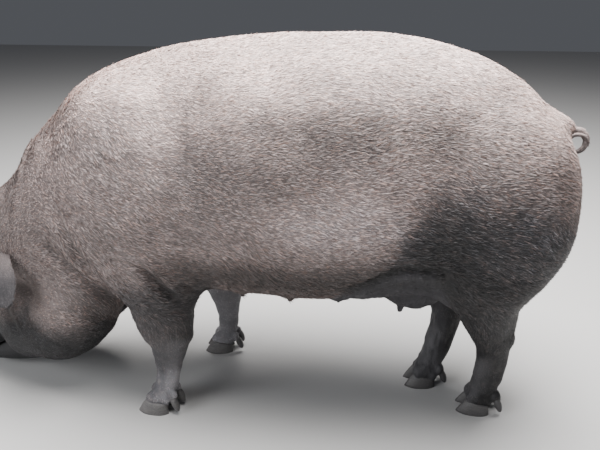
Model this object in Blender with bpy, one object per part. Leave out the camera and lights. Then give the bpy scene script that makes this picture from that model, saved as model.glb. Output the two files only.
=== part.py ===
"""A heavy sow standing with her head down to feed, life size, in metres.

She faces -X, her left side is toward -Y and the floor is z = 0. The flesh is one smooth field,
built from lofts and ellipsoids, that is meshed region by region and cut into named nodes.
"""

import itertools
import math

import bmesh
import bpy
import numpy as np
from mathutils import Matrix, Vector

# Where the middle of her length lies in the frame the shape is laid out in
CENTRE_X = -0.1750

# Thin gap between one node and the next
GAP = 0.0003

# Cells along each side of the blocks the surface is looked for in
BLOCK = 4

# Trunk stations: x, top, widest height, bottom, half width
TRUNK = (
    (-0.640, 0.660, 0.500, 0.340, 0.101),
    (-0.580, 0.722, 0.520, 0.310, 0.151),
    (-0.480, 0.822, 0.550, 0.300, 0.197),
    (-0.380, 0.866, 0.570, 0.312, 0.227),
    (-0.270, 0.894, 0.580, 0.322, 0.247),
    (-0.140, 0.911, 0.590, 0.316, 0.265),
    (0.000, 0.920, 0.590, 0.309, 0.276),
    (0.130, 0.922, 0.590, 0.312, 0.275),
    (0.250, 0.913, 0.590, 0.328, 0.262),
    (0.360, 0.887, 0.590, 0.350, 0.240),
    (0.460, 0.842, 0.590, 0.400, 0.209),
    (0.540, 0.774, 0.590, 0.455, 0.165),
    (0.580, 0.722, 0.590, 0.490, 0.124),
    (0.603, 0.672, 0.590, 0.525, 0.078),
    (0.615, 0.610, 0.590, 0.570, 0.027),
)
TRUNK_POWER = 2.25

# Head frame: origin, pitch below the horizon; s runs to the snout, d up to the forehead
HEAD_ORIGIN = (-0.62, 0.0, 0.40)
HEAD_PITCH = math.radians(50.0)

# Neck stations: s, middle d, half depth, half width
NECK = (
    (-0.46, -0.050, 0.130, 0.130),
    (-0.34, -0.035, 0.185, 0.175),
    (-0.22, -0.025, 0.200, 0.178),
    (-0.10, -0.010, 0.198, 0.165),
    (0.00, 0.000, 0.192, 0.148),
    (0.08, 0.010, 0.165, 0.120),
    (0.14, 0.020, 0.080, 0.060),
)
# Skull and snout stations: s, middle d, half depth, half width
SKULL = (
    (-0.06, 0.100, 0.065, 0.070),
    (0.00, 0.100, 0.096, 0.105),
    (0.07, 0.096, 0.104, 0.112),
    (0.14, 0.086, 0.101, 0.105),
    (0.21, 0.068, 0.093, 0.091),
    (0.28, 0.046, 0.084, 0.076),
    (0.34, 0.028, 0.079, 0.064),
    (0.38, 0.026, 0.067, 0.055),
    (0.42, 0.030, 0.053, 0.049),
    (0.455, 0.036, 0.042, 0.045),
    (0.475, 0.038, 0.038, 0.045),
    (0.488, 0.038, 0.037, 0.046),
)
# Lower jaw stations: s, middle d, half depth, half width
JAW = (
    (0.08, -0.110, 0.100, 0.070),
    (0.16, -0.126, 0.108, 0.084),
    (0.24, -0.125, 0.100, 0.080),
    (0.31, -0.107, 0.074, 0.064),
    (0.37, -0.083, 0.054, 0.050),
    (0.41, -0.059, 0.043, 0.041),
    (0.44, -0.039, 0.029, 0.034),
    (0.458, -0.027, 0.016, 0.025),
)
DISC_S = 0.486
DISC_D = 0.038
DISC_HALF = (0.037, 0.044)
NOSTRIL = (0.017, 0.0085, 0.0065)
MOUTH_START_S = 0.318
MOUTH_END_S = 0.458
MOUTH_DEPTH = 0.010
MOUTH_HALF_HEIGHT = 0.0030
EYE_S = 0.262
EYE_D = 0.090
EYE_Y = 0.0800
EYE_RADIUS = 0.0125
EYE_OPENING = (0.0125, 0.0068)

# Ears: root and tip of the left ear, half width, thickness
EAR_ROOT = (-0.808, -0.087, 0.408)
EAR_TIP = (-0.668, -0.205, 0.312)
EAR_HALF_WIDTH = 0.066
EAR_HALF_THICK = 0.0052
EAR_OUTWARD = (-0.25, -0.80, 0.50)
EAR_WIDTHS = ((-0.10, 0.05, 0.35, 0.7, 0.92, 1.02), (0.42, 0.60, 1.0, 0.80, 0.40, 0.12))
EAR_STEPS = 13
EAR_ACROSS = 8

# Fore leg stations: height, forward offset, half length, half width
FORE_LEG = (
    (0.020, 0.010, 0.024, 0.023),
    (0.045, 0.014, 0.027, 0.026),
    (0.070, 0.026, 0.031, 0.027),
    (0.110, 0.036, 0.031, 0.026),
    (0.150, 0.042, 0.037, 0.031),
    (0.185, 0.047, 0.046, 0.037),
    (0.230, 0.043, 0.066, 0.045),
    (0.270, 0.040, 0.074, 0.053),
    (0.315, 0.037, 0.082, 0.062),
    (0.400, 0.030, 0.100, 0.070),
    (0.480, 0.015, 0.110, 0.060),
)
# Hind leg stations: height, forward offset, half length, half width
HIND_LEG = (
    (0.020, 0.010, 0.024, 0.023),
    (0.045, 0.012, 0.029, 0.026),
    (0.075, 0.018, 0.036, 0.028),
    (0.110, 0.024, 0.037, 0.028),
    (0.160, 0.025, 0.038, 0.033),
    (0.200, 0.022, 0.041, 0.037),
    (0.235, 0.013, 0.050, 0.044),
    (0.270, 0.003, 0.061, 0.054),
    (0.310, -0.009, 0.072, 0.066),
    (0.350, -0.020, 0.085, 0.077),
    (0.420, -0.025, 0.105, 0.085),
    (0.500, -0.020, 0.115, 0.070),
)
# Feet: sole centre x and y, where the leg joins the body x and y
FEET = {
    "fore_left": (-0.352, -0.146, -0.352, -0.150),
    "fore_right": (-0.255, 0.142, -0.340, 0.150),
    "hind_left": (0.457, -0.050, 0.457, -0.125),
    "hind_right": (0.327, 0.046, 0.430, 0.125),
}
TOE_OUT = math.radians(5.0)
CLAW_TOE = -0.047
CLAW_LENGTH = 0.084
CLAW_SLOPE = 0.027
CLAW_WIDTH = 0.036
CLAW_SPACING = 0.0190
CLAW_RINGS = 4
CLAW_POINTS = 18
CORONET_FRONT = 0.040
CORONET_HEEL = 0.024
DEWCLAW_RADIUS = 0.0105
DEWCLAW_LENGTH = 0.040
DEWCLAW_LIFT = 0.010
DEWCLAW_BACK = 0.058
DEWCLAW_SPACING = 0.0190
DEWCLAW_TILT = math.radians(-20.0)

# Udder and teats
UDDER = (0.272, 0.066, 0.362, 0.085, 0.064, 0.066)
TEAT_FIRST_X = -0.25
TEAT_STEP = 0.118
TEAT_COUNT = 4
TEAT_Y = 0.085
TEAT_RADIUS = 0.0085
TEAT_LENGTH = 0.023

# Tail: root, tube radii, curl radius, turns
TAIL_ROOT = (0.580, 0.0, 0.715)
TAIL_RADII = (0.014, 0.005)
TAIL_CURL = 0.023
TAIL_TURNS = 1.25

# Neck to trunk: a plane through this point, its normal pitched back
NECK_PLANE = (-0.432, 0.0, 0.40)
NECK_TURN = math.radians(4.0)
# Head to neck: a plane through this point, square to a line at this pitch
HEAD_PLANE = (-0.640, 0.0, 0.355)
HEAD_TURN = math.radians(38.0)
SNOUT_CUT_S = 0.466
KNEE_Z = 0.188
HOCK_Z = 0.212
# Boxes that part the udder and the upper legs from the torso: low corner, high corner
UDDER_BOX = ((0.165, -0.155, 0.20), (0.320, 0.155, 0.345))
UPPER_BOX = {
    "fore_left": ((-0.46, -0.30, 0.10), (-0.160, -0.020, 0.300)),
    "fore_right": ((-0.46, 0.020, 0.10), (-0.120, 0.30, 0.300)),
    "hind_left": ((0.322, -0.30, 0.10), (0.70, -0.002, 0.385)),
    "hind_right": ((0.322, 0.002, 0.10), (0.70, 0.30, 0.385)),
}
# How many triangles each region may keep
HEAD_TRIANGLES = 3800
BODY_TRIANGLES = 4200
TAIL_TRIANGLES = 320
FOOT_TRIANGLES = 520

# Colours
HIDE = (0.42, 0.33, 0.26)
PALE = (0.50, 0.45, 0.41)
MUD = (0.13, 0.11, 0.10)
HORN = (0.23, 0.21, 0.20)
PINK = (0.45, 0.33, 0.30)
DARK = (0.03, 0.02, 0.02)


def smooth_curve(knots, values, at):
    """Cubic through the knots that does not overshoot them."""
    knots = np.asarray(knots, float)
    values = np.asarray(values, float)
    steps = np.diff(knots)
    slopes = np.diff(values) / steps
    tangents = np.zeros(len(knots))
    tangents[0] = slopes[0]
    tangents[-1] = slopes[-1]
    rising = slopes[:-1] * slopes[1:] > 0
    inner = np.zeros(len(slopes) - 1)
    total = slopes[:-1] + slopes[1:]
    inner[rising] = 2 * slopes[:-1][rising] * slopes[1:][rising] / total[rising]
    tangents[1:-1] = inner
    cell = np.clip(np.searchsorted(knots, at) - 1, 0, len(steps) - 1)
    t = np.clip((at - knots[cell]) / steps[cell], 0, 1)
    t2 = t * t
    t3 = t2 * t
    result = (2 * t3 - 3 * t2 + 1) * values[cell]
    result += (t3 - 2 * t2 + t) * steps[cell] * tangents[cell]
    result += (3 * t2 - 2 * t3) * values[cell + 1]
    result += (t3 - t2) * steps[cell] * tangents[cell + 1]
    return result


def column(table, index):
    """One column of a table of stations."""
    return [row[index] for row in table]


def smooth_min(a, b, blend):
    """Union of two fields with a fillet about as wide as blend."""
    h = np.clip(0.5 + 0.5 * (b - a) / blend, 0, 1)
    return b * (1 - h) + a * h - blend * h * (1 - h)


def smooth_max(a, b, blend):
    """Intersection of two fields with a rounded edge."""
    return -smooth_min(-a, -b, blend)


def ellipsoid(p, centre, radii, pitch=0.0):
    """Distance-like field of an ellipsoid turned about Y by pitch."""
    q = p - np.asarray(centre)
    if pitch:
        c, s = math.cos(pitch), math.sin(pitch)
        q = np.stack((q[:, 0] * c + q[:, 2] * s, q[:, 1], q[:, 2] * c - q[:, 0] * s), 1)
    r = np.asarray(radii)
    near = np.sqrt(((q / r) ** 2).sum(1))
    slope = np.sqrt(((q / (r * r)) ** 2).sum(1))
    return near * (near - 1) / np.maximum(slope, 1e-6)


def oval(a, b, half_a, half_b, power=2.0):
    """Distance-like field of an oval section."""
    u = np.abs(a) / half_a
    v = np.abs(b) / half_b
    near = (u**power + v**power) ** (1 / power)
    slope = np.sqrt((u / half_a) ** 2 + (v / half_b) ** 2)
    return near * (near - 1) / np.maximum(slope, 1e-6)


def head_frame(p):
    """Turns points into s along the head, y across it and d toward the forehead."""
    q = p - np.asarray(HEAD_ORIGIN)
    c, s = math.cos(HEAD_PITCH), math.sin(HEAD_PITCH)
    return np.stack((-q[:, 0] * c - q[:, 2] * s, q[:, 1], -q[:, 0] * s + q[:, 2] * c), 1)


def head_point(s, y, d):
    """A point of the head frame in the world."""
    c, sn = math.cos(HEAD_PITCH), math.sin(HEAD_PITCH)
    x = HEAD_ORIGIN[0] - s * c - d * sn
    z = HEAD_ORIGIN[2] - s * sn + d * c
    return (x, y, z)


def trunk(p):
    """The barrel from the base of the neck to the rump."""
    x, y, z = p.T
    knots = column(TRUNK, 0)
    top, mid, low, wide = (smooth_curve(knots, column(TRUNK, i), x) for i in (1, 2, 3, 4))
    half = np.where(z > mid, top - mid, mid - low)
    section = oval(y, z - mid, wide, np.maximum(half, 0.01), TRUNK_POWER)
    past = np.maximum(knots[0] - x, x - knots[-1])
    return np.maximum(section, past)


def loft(q, table, blend=0.01):
    """An oval tube along the first axis of q, through a table of stations."""
    s, y, d = q.T
    knots = column(table, 0)
    mid, deep, wide = (smooth_curve(knots, column(table, i), s) for i in (1, 2, 3))
    section = oval(d - mid, y, deep, wide, 2.2)
    past = np.maximum(knots[0] - s, s - knots[-1])
    return smooth_max(section, past, blend)


def leg(p, table, foot):
    """A leg as an upright loft that leans from its foot to where it joins the body."""
    x, y, z = p.T
    foot_x, foot_y, join_x, join_y = FEET[foot]
    knots = column(table, 0)
    lean = smooth_curve((0.05, 0.20, 0.42), (0.0, 0.35, 1.0), z)
    shift, long, wide = (smooth_curve(knots, column(table, i), z) for i in (1, 2, 3))
    mid_x = foot_x + shift + lean * (join_x - foot_x)
    mid_y = foot_y + lean * (join_y - foot_y)
    section = oval(x - mid_x, y - mid_y, long, wide, 2.1)
    past = np.maximum(knots[0] - z, z - knots[-1])
    return smooth_max(section, past, 0.012)


class Flesh:
    """The field of the flesh, filled in step by step at a set of points."""

    def __init__(self, points):
        self.p = points
        self.f = trunk(points)

    def add(self, function, low, high, blend, pad=0.05):
        """Blends one more form in, only where its box can reach."""
        near = np.all((self.p > np.asarray(low) - pad) & (self.p < np.asarray(high) + pad), 1)
        if near.any():
            self.f[near] = smooth_min(self.f[near], function(self.p[near]), blend)

    def ball(self, centre, radii, blend, pitch=0.0):
        """Blends in an ellipsoid."""
        reach = max(radii)
        low = np.asarray(centre) - reach
        high = np.asarray(centre) + reach
        self.add(lambda q: ellipsoid(q, centre, radii, pitch), low, high, blend)


def flesh(points):
    """Field of the whole sow without ears, eyes and claws: negative inside."""
    body = Flesh(points)
    for side in (-1, 1):
        body.ball((-0.36, side * 0.150, 0.57), (0.14, 0.094, 0.25), 0.08, pitch=0.20)
        body.ball((0.43, side * 0.132, 0.57), (0.165, 0.112, 0.20), 0.07, pitch=-0.25)
        body.ball((0.485, side * 0.110, 0.515), (0.100, 0.093, 0.125), 0.05)
    body.ball((-0.40, 0.0, 0.38), (0.11, 0.12, 0.09), 0.06)
    low = (-1.0, -0.25, 0.0)
    high = (-0.25, 0.25, 0.95)
    body.add(lambda q: loft(head_frame(q), NECK, 0.03), low, high, 0.06)
    for side in (-1, 1):
        centre = head_point(0.095, side * 0.086, -0.142)
        body.ball(centre, (0.168, 0.086, 0.104), 0.050, pitch=HEAD_PITCH)
    body.add(lambda q: loft(head_frame(q), SKULL, 0.008), (-1.0, -0.2, 0.0), high, 0.035)
    body.add(lambda q: loft(head_frame(q), JAW, 0.012), (-1.0, -0.2, 0.0), high, 0.024)
    face(body)
    for foot in FEET:
        table = FORE_LEG if foot.startswith("fore") else HIND_LEG
        blend = 0.045 if foot.startswith("fore") else 0.060
        x, y = FEET[foot][:2]
        low = (x - 0.22, min(y, FEET[foot][3]) - 0.12, 0.0)
        high = (x + 0.24, max(y, FEET[foot][3]) + 0.12, 0.52)
        body.add(lambda q: leg(q, table, foot), low, high, blend)
        toes(body, foot)
    udder(body)
    rear(body)
    return body.f


def face(body):
    """Brows, cheeks, lids, lips, the rooting disc with its nostrils, and the line of the mouth."""
    for side in (-1, 1):
        body.ball(head_point(0.240, side * 0.052, 0.114), (0.048, 0.026, 0.024), 0.030,
                  pitch=HEAD_PITCH)
        body.ball(head_point(0.215, side * 0.052, -0.025), (0.100, 0.042, 0.080), 0.035,
                  pitch=HEAD_PITCH)
        body.ball(head_point(0.205, side * 0.066, -0.085), (0.125, 0.062, 0.085), 0.045,
                  pitch=HEAD_PITCH)
        body.ball(head_point(EYE_S, side * (EYE_Y - 0.003), EYE_D), (0.024, 0.015, 0.018), 0.010,
                  pitch=HEAD_PITCH)
        body.ball(head_point(0.120, side * 0.078, 0.118), (0.060, 0.040, 0.050), 0.035,
                  pitch=HEAD_PITCH)
        body.ball(head_point(0.385, side * 0.036, -0.014), (0.060, 0.018, 0.016), 0.012,
                  pitch=HEAD_PITCH)
    at = head_point(DISC_S, 0, DISC_D)
    body.add(disc, at, at, 0.006, pad=0.08)


def disc(p):
    """The flat rooting disc at the end of the snout."""
    s, y, d = head_frame(p).T
    rim = oval(d - DISC_D, y, DISC_HALF[0], DISC_HALF[1], 2.3)
    face_s = s - DISC_S - 0.012 + 0.10 * y * y
    back_s = DISC_S - 0.012 - s
    return smooth_max(rim, np.maximum(face_s, back_s), 0.010)


def mouth_line(s):
    """Height of the mouth in the head frame, rising gently to the snout."""
    return smooth_curve((0.29, 0.32, 0.38, 0.43, 0.47), (-0.054, -0.055, -0.038, -0.018, -0.006), s)


def toes(body, foot):
    """Toes, heel bulbs and the bosses of the dewclaws on one foot."""
    x, y = FEET[foot][:2]
    for side in (-1, 1):
        centre = (x + 0.001, y + side * CLAW_SPACING, 0.043)
        body.ball(centre, (0.027, 0.0165, 0.024), 0.010, pitch=0.60)
        bulb = (x + 0.024, y + side * 0.016, 0.036)
        body.ball(bulb, (0.018, 0.0150, 0.024), 0.010)
        boss = (x + 0.047, y + side * (DEWCLAW_SPACING - 0.001), 0.052)
        body.ball(boss, (0.013, 0.0105, 0.017), 0.010, pitch=-0.35)


def udder(body):
    """The two rear glands between the thighs and the row of teats along the belly."""
    x, y, z, long, wide, deep = UDDER
    for side in (-1, 1):
        body.ball((x, side * y, z), (long, wide, deep), 0.020, pitch=-0.15)
        body.ball((x - 0.02, side * (y + 0.012), z - deep + 0.004), (0.010, 0.010, 0.022), 0.008)
        for k in range(TEAT_COUNT):
            at = TEAT_FIRST_X + k * TEAT_STEP
            low = belly_height(at, TEAT_Y)
            body.ball((at, side * TEAT_Y, low + 0.010), (0.030, 0.026, 0.018), 0.020)
            radii = (TEAT_RADIUS, TEAT_RADIUS, TEAT_LENGTH)
            body.ball((at, side * TEAT_Y, low - 0.004), radii, 0.008)


def belly_height(x, y):
    """Height of the trunk's underside at one place."""
    at = np.array([x])
    knots = column(TRUNK, 0)
    mid, low, wide = (smooth_curve(knots, column(TRUNK, i), at)[0] for i in (2, 3, 4))
    drop = (1 - (abs(y) / wide) ** TRUNK_POWER) ** (1 / TRUNK_POWER)
    return mid - (mid - low) * drop


def rear(body):
    """The tail head and the folds beneath it."""
    x, y, z = TAIL_ROOT
    body.ball((x - 0.035, 0.0, z + 0.010), (0.060, 0.035, 0.035), 0.040)
    body.ball((x + 0.022, 0.0, z - 0.115), (0.028, 0.026, 0.042), 0.020)


def ear_axes():
    """Length, and the directions along, across and out of the left ear."""
    along = np.array(EAR_TIP) - np.array(EAR_ROOT)
    length = np.linalg.norm(along)
    along = along / length
    outward = np.array(EAR_OUTWARD)
    outward = outward - along * (outward @ along)
    outward = outward / np.linalg.norm(outward)
    return length, along, np.cross(along, outward), outward


def ear_section(a):
    """Half width, roll and half thickness of the ear at a share of its length."""
    at = np.array([a])
    width = EAR_HALF_WIDTH * smooth_curve(*EAR_WIDTHS, at)[0]
    roll = smooth_curve((-0.1, 0.3, 1.0), (9.0, 5.0, 2.5), at)[0]
    thick = EAR_HALF_THICK * smooth_curve((-0.1, 0.2, 1.0), (1.5, 1.0, 0.7), at)[0]
    return width, roll, thick


def ear_point(a, b, face, side):
    """A point of an ear: a along it, b from -1 to 1 across it, face 1 outside and -1 inside."""
    length, along, across, outward = ear_axes()
    width, roll, thick = ear_section(a)
    reach = b * width
    lift = 0.012 - roll * reach * reach - 0.012 * ((a - 0.45) / 0.55) ** 2
    rim = math.sqrt(max(0.0, 1 - b**4))
    point = np.array(EAR_ROOT) + along * length * a + across * reach
    point = point + outward * (lift + face * thick * rim)
    return (point[0], -side * point[1], point[2])


def tail_points():
    """Centre line and radii of the tail: a short stalk and a curl."""
    root = np.array(TAIL_ROOT)
    stalk = [root + np.array((0.015 * k, 0.0, 0.002 * k)) for k in range(-2, 3)]
    centre = stalk[-1] + np.array((0.0, 0.0, -TAIL_CURL))
    curl = []
    for k in range(1, 21):
        turn = 2 * math.pi * TAIL_TURNS * k / 20
        radius = TAIL_CURL * (1 - 0.18 * k / 20)
        offset = np.array((math.sin(turn) * radius, -0.030 * k / 20, math.cos(turn) * radius))
        curl.append(centre + offset)
    return stalk + curl


def tail(p):
    """Field of the tail as a chain of round cones."""
    path = tail_points()
    result = np.full(len(p), 1.0)
    count = len(path) - 1
    for k in range(count):
        start, end = path[k], path[k + 1]
        line = end - start
        t = np.clip(((p - start) @ line) / (line @ line), 0, 1)
        share = (k + t) / count
        radius = TAIL_RADII[0] + (TAIL_RADII[1] - TAIL_RADII[0]) * np.clip(share * 1.6, 0, 1)
        away = np.linalg.norm(p - start - t[:, None] * line, axis=1) - radius
        result = smooth_min(result, away, 0.002)
    return result


def evaluate(field, points, chunk=400000):
    """Runs a field over many points in chunks."""
    return np.concatenate([field(points[i:i + chunk]) for i in range(0, len(points), chunk)])


def corner_steps():
    """The eight corners of a cell and the six tetrahedra that fill it."""
    corners = [(i, j, k) for i in (0, 1) for j in (0, 1) for k in (0, 1)]
    tetras = []
    for order in itertools.permutations((0, 1, 2)):
        step = [0, 0, 0]
        path = [corners.index(tuple(step))]
        for axis in order:
            step[axis] = 1
            path.append(corners.index(tuple(step)))
        tetras.append(path)
    return corners, tetras


def block_values(field, grid, cell):
    """Field values on a grid, worked out finely only in blocks the surface may cross."""
    coarse = grid[::BLOCK, ::BLOCK, ::BLOCK]
    rough = evaluate(field, coarse.reshape(-1, 3)).reshape(coarse.shape[:3])
    least = np.abs(rough)
    for axis in range(3):
        count = least.shape[axis]
        first = np.take(least, range(count - 1), axis)
        least = np.minimum(first, np.take(least, range(1, count), axis))
    busy = least < cell * BLOCK * 1.9
    nodes = np.zeros(grid.shape[:3], bool)
    cells = busy.repeat(BLOCK, 0).repeat(BLOCK, 1).repeat(BLOCK, 2)
    for i, j, k in corner_steps()[0]:
        part = nodes[i:cells.shape[0] + i, j:cells.shape[1] + j, k:cells.shape[2] + k]
        part |= cells
    values = rough.repeat(BLOCK, 0).repeat(BLOCK, 1).repeat(BLOCK, 2)
    values = values[:grid.shape[0], :grid.shape[1], :grid.shape[2]].copy()
    values[nodes] = evaluate(field, grid[nodes])
    return values


def zero_surface(field, low, high, cell):
    """A closed triangle mesh on the zero level of a field inside a box."""
    low = np.asarray(low, float)
    size = np.ceil((np.asarray(high) - low) / (cell * BLOCK)).astype(int) * BLOCK + 1
    axes = [low[i] + cell * np.arange(size[i]) for i in range(3)]
    grid = np.stack(np.meshgrid(*axes, indexing="ij"), -1)
    values = block_values(field, grid, cell)
    grid = grid.reshape(-1, 3)
    for axis in range(3):
        side = np.swapaxes(values, 0, axis)
        side[0] = np.maximum(side[0], cell * 0.5)
        side[-1] = np.maximum(side[-1], cell * 0.5)
    values = values.reshape(-1)
    values[np.abs(values) < 1e-7] = 1e-7
    stride = np.array((size[1] * size[2], size[2], 1))
    corners, tetras = corner_steps()
    index = np.arange(len(values)).reshape(size)[:-1, :-1, :-1].reshape(-1)
    corner = index[:, None] + (np.array(corners) @ stride)[None, :]
    mixed = (values[corner] < 0).sum(1)
    corner = corner[(mixed > 0) & (mixed < 8)]
    tetra = np.concatenate([corner[:, path] for path in tetras])
    inside = values[tetra] < 0
    order = np.argsort(~inside, axis=1, kind="stable")
    tetra = np.take_along_axis(tetra, order, 1)
    count = inside.sum(1)
    pairs = []
    one = tetra[count == 1]
    pairs.append(one[:, [0, 1, 0, 2, 0, 3]].reshape(-1, 3, 2))
    three = tetra[count == 3]
    pairs.append(three[:, [0, 3, 1, 3, 2, 3]].reshape(-1, 3, 2))
    two = tetra[count == 2]
    pairs.append(two[:, [0, 2, 0, 3, 1, 3]].reshape(-1, 3, 2))
    pairs.append(two[:, [0, 2, 1, 3, 1, 2]].reshape(-1, 3, 2))
    pairs = np.concatenate(pairs)
    keys = pairs.min(2).astype(np.int64) * len(values) + pairs.max(2)
    unique, faces = np.unique(keys.reshape(-1), return_inverse=True)
    faces = faces.reshape(-1, 3)
    first, second = unique // len(values), unique % len(values)
    share = values[first] / (values[first] - values[second])
    points = grid[first] + share[:, None] * (grid[second] - grid[first])
    a, b, c = (points[faces[:, i]] for i in range(3))
    normal = np.cross(b - a, c - a)
    outward = grid[pairs[:, :, 1]].mean(1) - grid[pairs[:, :, 0]].mean(1)
    wrong = (normal * outward).sum(1) < 0
    faces[wrong] = faces[wrong][:, ::-1]
    return points, faces


def settle(field, points, reach, rounds=3):
    """Moves points along the field's slope onto its zero level."""
    step = 0.0004
    for _ in range(rounds):
        value = evaluate(field, points)
        slope = np.zeros_like(points)
        for axis in range(3):
            move = np.zeros(3)
            move[axis] = step
            ahead = evaluate(field, points + move)
            behind = evaluate(field, points - move)
            slope[:, axis] = (ahead - behind) / (2 * step)
        size = np.maximum((slope**2).sum(1), 0.05)
        shift = -slope * (value / size)[:, None]
        length = np.linalg.norm(shift, axis=1)
        shift *= np.minimum(1, reach / np.maximum(length, 1e-9))[:, None]
        points = points + shift
    return points


def new_object(name, points, faces):
    """A mesh object from points and faces."""
    mesh = bpy.data.meshes.new(name)
    mesh.from_pydata([tuple(v) for v in points], [], [tuple(int(i) for i in f) for f in faces])
    mesh.validate()
    item = bpy.data.objects.new(name, mesh)
    bpy.context.scene.collection.objects.link(item)
    return item


def apply_modifiers(item):
    """Replaces an object's mesh by what its modifiers make of it."""
    graph = bpy.context.evaluated_depsgraph_get()
    mesh = bpy.data.meshes.new_from_object(item.evaluated_get(graph))
    item.modifiers.clear()
    old = item.data
    item.data = mesh
    bpy.data.meshes.remove(old)


def largest_shell(item):
    """Drops every loose piece but the largest."""
    bm = bmesh.new()
    bm.from_mesh(item.data)
    left = set(bm.verts)
    shells = []
    while left:
        seed = left.pop()
        shell = {seed}
        edge_of = [seed]
        while edge_of:
            vert = edge_of.pop()
            for edge in vert.link_edges:
                other = edge.other_vert(vert)
                if other not in shell:
                    shell.add(other)
                    edge_of.append(other)
        left -= shell
        shells.append(shell)
    shells.sort(key=len)
    for shell in shells[:-1]:
        bmesh.ops.delete(bm, geom=list(shell), context="VERTS")
    bm.to_mesh(item.data)
    bm.free()


def reduce_to(item, triangles):
    """Brings a mesh down to about so many triangles."""
    bm = bmesh.new()
    bm.from_mesh(item.data)
    bmesh.ops.triangulate(bm, faces=bm.faces)
    count = len(bm.faces)
    bm.to_mesh(item.data)
    bm.free()
    if count > triangles:
        modifier = item.modifiers.new("reduce", "DECIMATE")
        modifier.ratio = triangles / count
        apply_modifiers(item)


def open_edges(item):
    """How many edges of a mesh do not join exactly two faces."""
    bm = bmesh.new()
    bm.from_mesh(item.data)
    count = sum(1 for edge in bm.edges if not edge.is_manifold)
    bm.free()
    return count


def region(name, field, low, high, cell, triangles):
    """Meshes one region of a field and thins the mesh."""
    low = np.asarray(low, float)
    high = np.asarray(high, float)
    points, faces = zero_surface(field, low, high, cell)
    edge = np.all((points > low + cell) & (points < high - cell), 1)
    points[edge] = settle(field, points[edge], cell * 0.35)
    item = new_object(name, points, faces)
    largest_shell(item)
    reduce_to(item, triangles)
    if open_edges(item):
        raise ValueError(f"{name} has {open_edges(item)} open edges")
    return item


def box(name, low, high, turn=None, at=(0, 0, 0)):
    """A cutting box with its own turn about a point."""
    bm = bmesh.new()
    bmesh.ops.create_cube(bm, size=1.0)
    low = Vector(low)
    high = Vector(high)
    size = high - low
    for vert in bm.verts:
        vert.co = Vector([vert.co[i] * size[i] + (low[i] + high[i]) / 2 for i in range(3)])
    if turn is not None:
        bm.transform(Matrix.Translation(at) @ turn)
    return finish(bm, name)


def combine(item, cutter, operation, keep_cutter=False, solver="EXACT"):
    """Applies one boolean to an object and removes the cutter."""
    modifier = item.modifiers.new("cut", "BOOLEAN")
    modifier.operation = operation
    modifier.object = cutter
    modifier.solver = solver
    apply_modifiers(item)
    if not keep_cutter:
        mesh = cutter.data
        bpy.data.objects.remove(cutter)
        bpy.data.meshes.remove(mesh)


def grown(item, distance):
    """A copy of an object pushed outward along its normals."""
    copy = bpy.data.objects.new(item.name + "_grown", item.data.copy())
    bpy.context.scene.collection.objects.link(copy)
    bm = bmesh.new()
    bm.from_mesh(copy.data)
    bm.normal_update()
    for vert in bm.verts:
        vert.co += vert.normal * distance * vert.calc_shell_factor()
    bm.to_mesh(copy.data)
    bm.free()
    copy.hide_render = True
    copy.display_type = "WIRE"
    return copy


def paint(item, colour, roughness=0.6):
    """Gives an object its own material."""
    material = bpy.data.materials.new(item.name)
    material.use_nodes = True
    shader = material.node_tree.nodes["Principled BSDF"]
    shader.inputs["Base Color"].default_value = (*colour, 1.0)
    shader.inputs["Roughness"].default_value = roughness
    shader.inputs["Metallic"].default_value = 0.0
    item.data.materials.clear()
    item.data.materials.append(material)


def slab(name, origin, pitch, start, end, reach=0.7):
    """A cutting box along a direction pitched below -X, from start to end past a point."""
    turn = Matrix.Rotation(-pitch, 4, "Y")
    return box(name, (-end, -reach, -reach), (-start, reach, reach), turn, origin)


def coronet_height(x):
    """Height of the sloping top of the claws at a place ahead of or behind the sole's middle."""
    middle = (CORONET_FRONT + CORONET_HEEL) / 2
    return middle - x * (CORONET_FRONT - CORONET_HEEL) / CLAW_LENGTH


def claw(name, x, y, side, turn):
    """One main claw: a pointed hoof half with a flat sole and a sloping coronet."""
    bm = bmesh.new()
    rings = []
    for level in range(CLAW_RINGS):
        t = level / (CLAW_RINGS - 1)
        ring = []
        front = CLAW_TOE + CLAW_SLOPE * t
        back = CLAW_TOE + CLAW_LENGTH - 0.003 * t
        for k in range(CLAW_POINTS):
            angle = 2 * math.pi * k / CLAW_POINTS
            along = math.cos(angle)
            across = math.sin(angle)
            taper = 1.0 - 0.34 * max(0.0, along) ** 2
            inner = 0.72 if across * side < 0 else 1.0
            blunt = math.copysign(abs(along) ** 0.82, along)
            shrink = 1.0 - 0.10 * t
            px = (front + back) / 2 - blunt * (back - front) / 2
            py = across * CLAW_WIDTH / 2 * taper * inner * shrink + side * CLAW_SPACING
            ring.append(bm.verts.new((px, py, t * (coronet_height(px) - GAP))))
        rings.append(ring)
    skin_rings(bm, rings)
    bm.transform(Matrix.Translation((x, y, 0)) @ Matrix.Rotation(turn, 4, "Z"))
    return finish(bm, name, HORN, 0.45)


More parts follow.
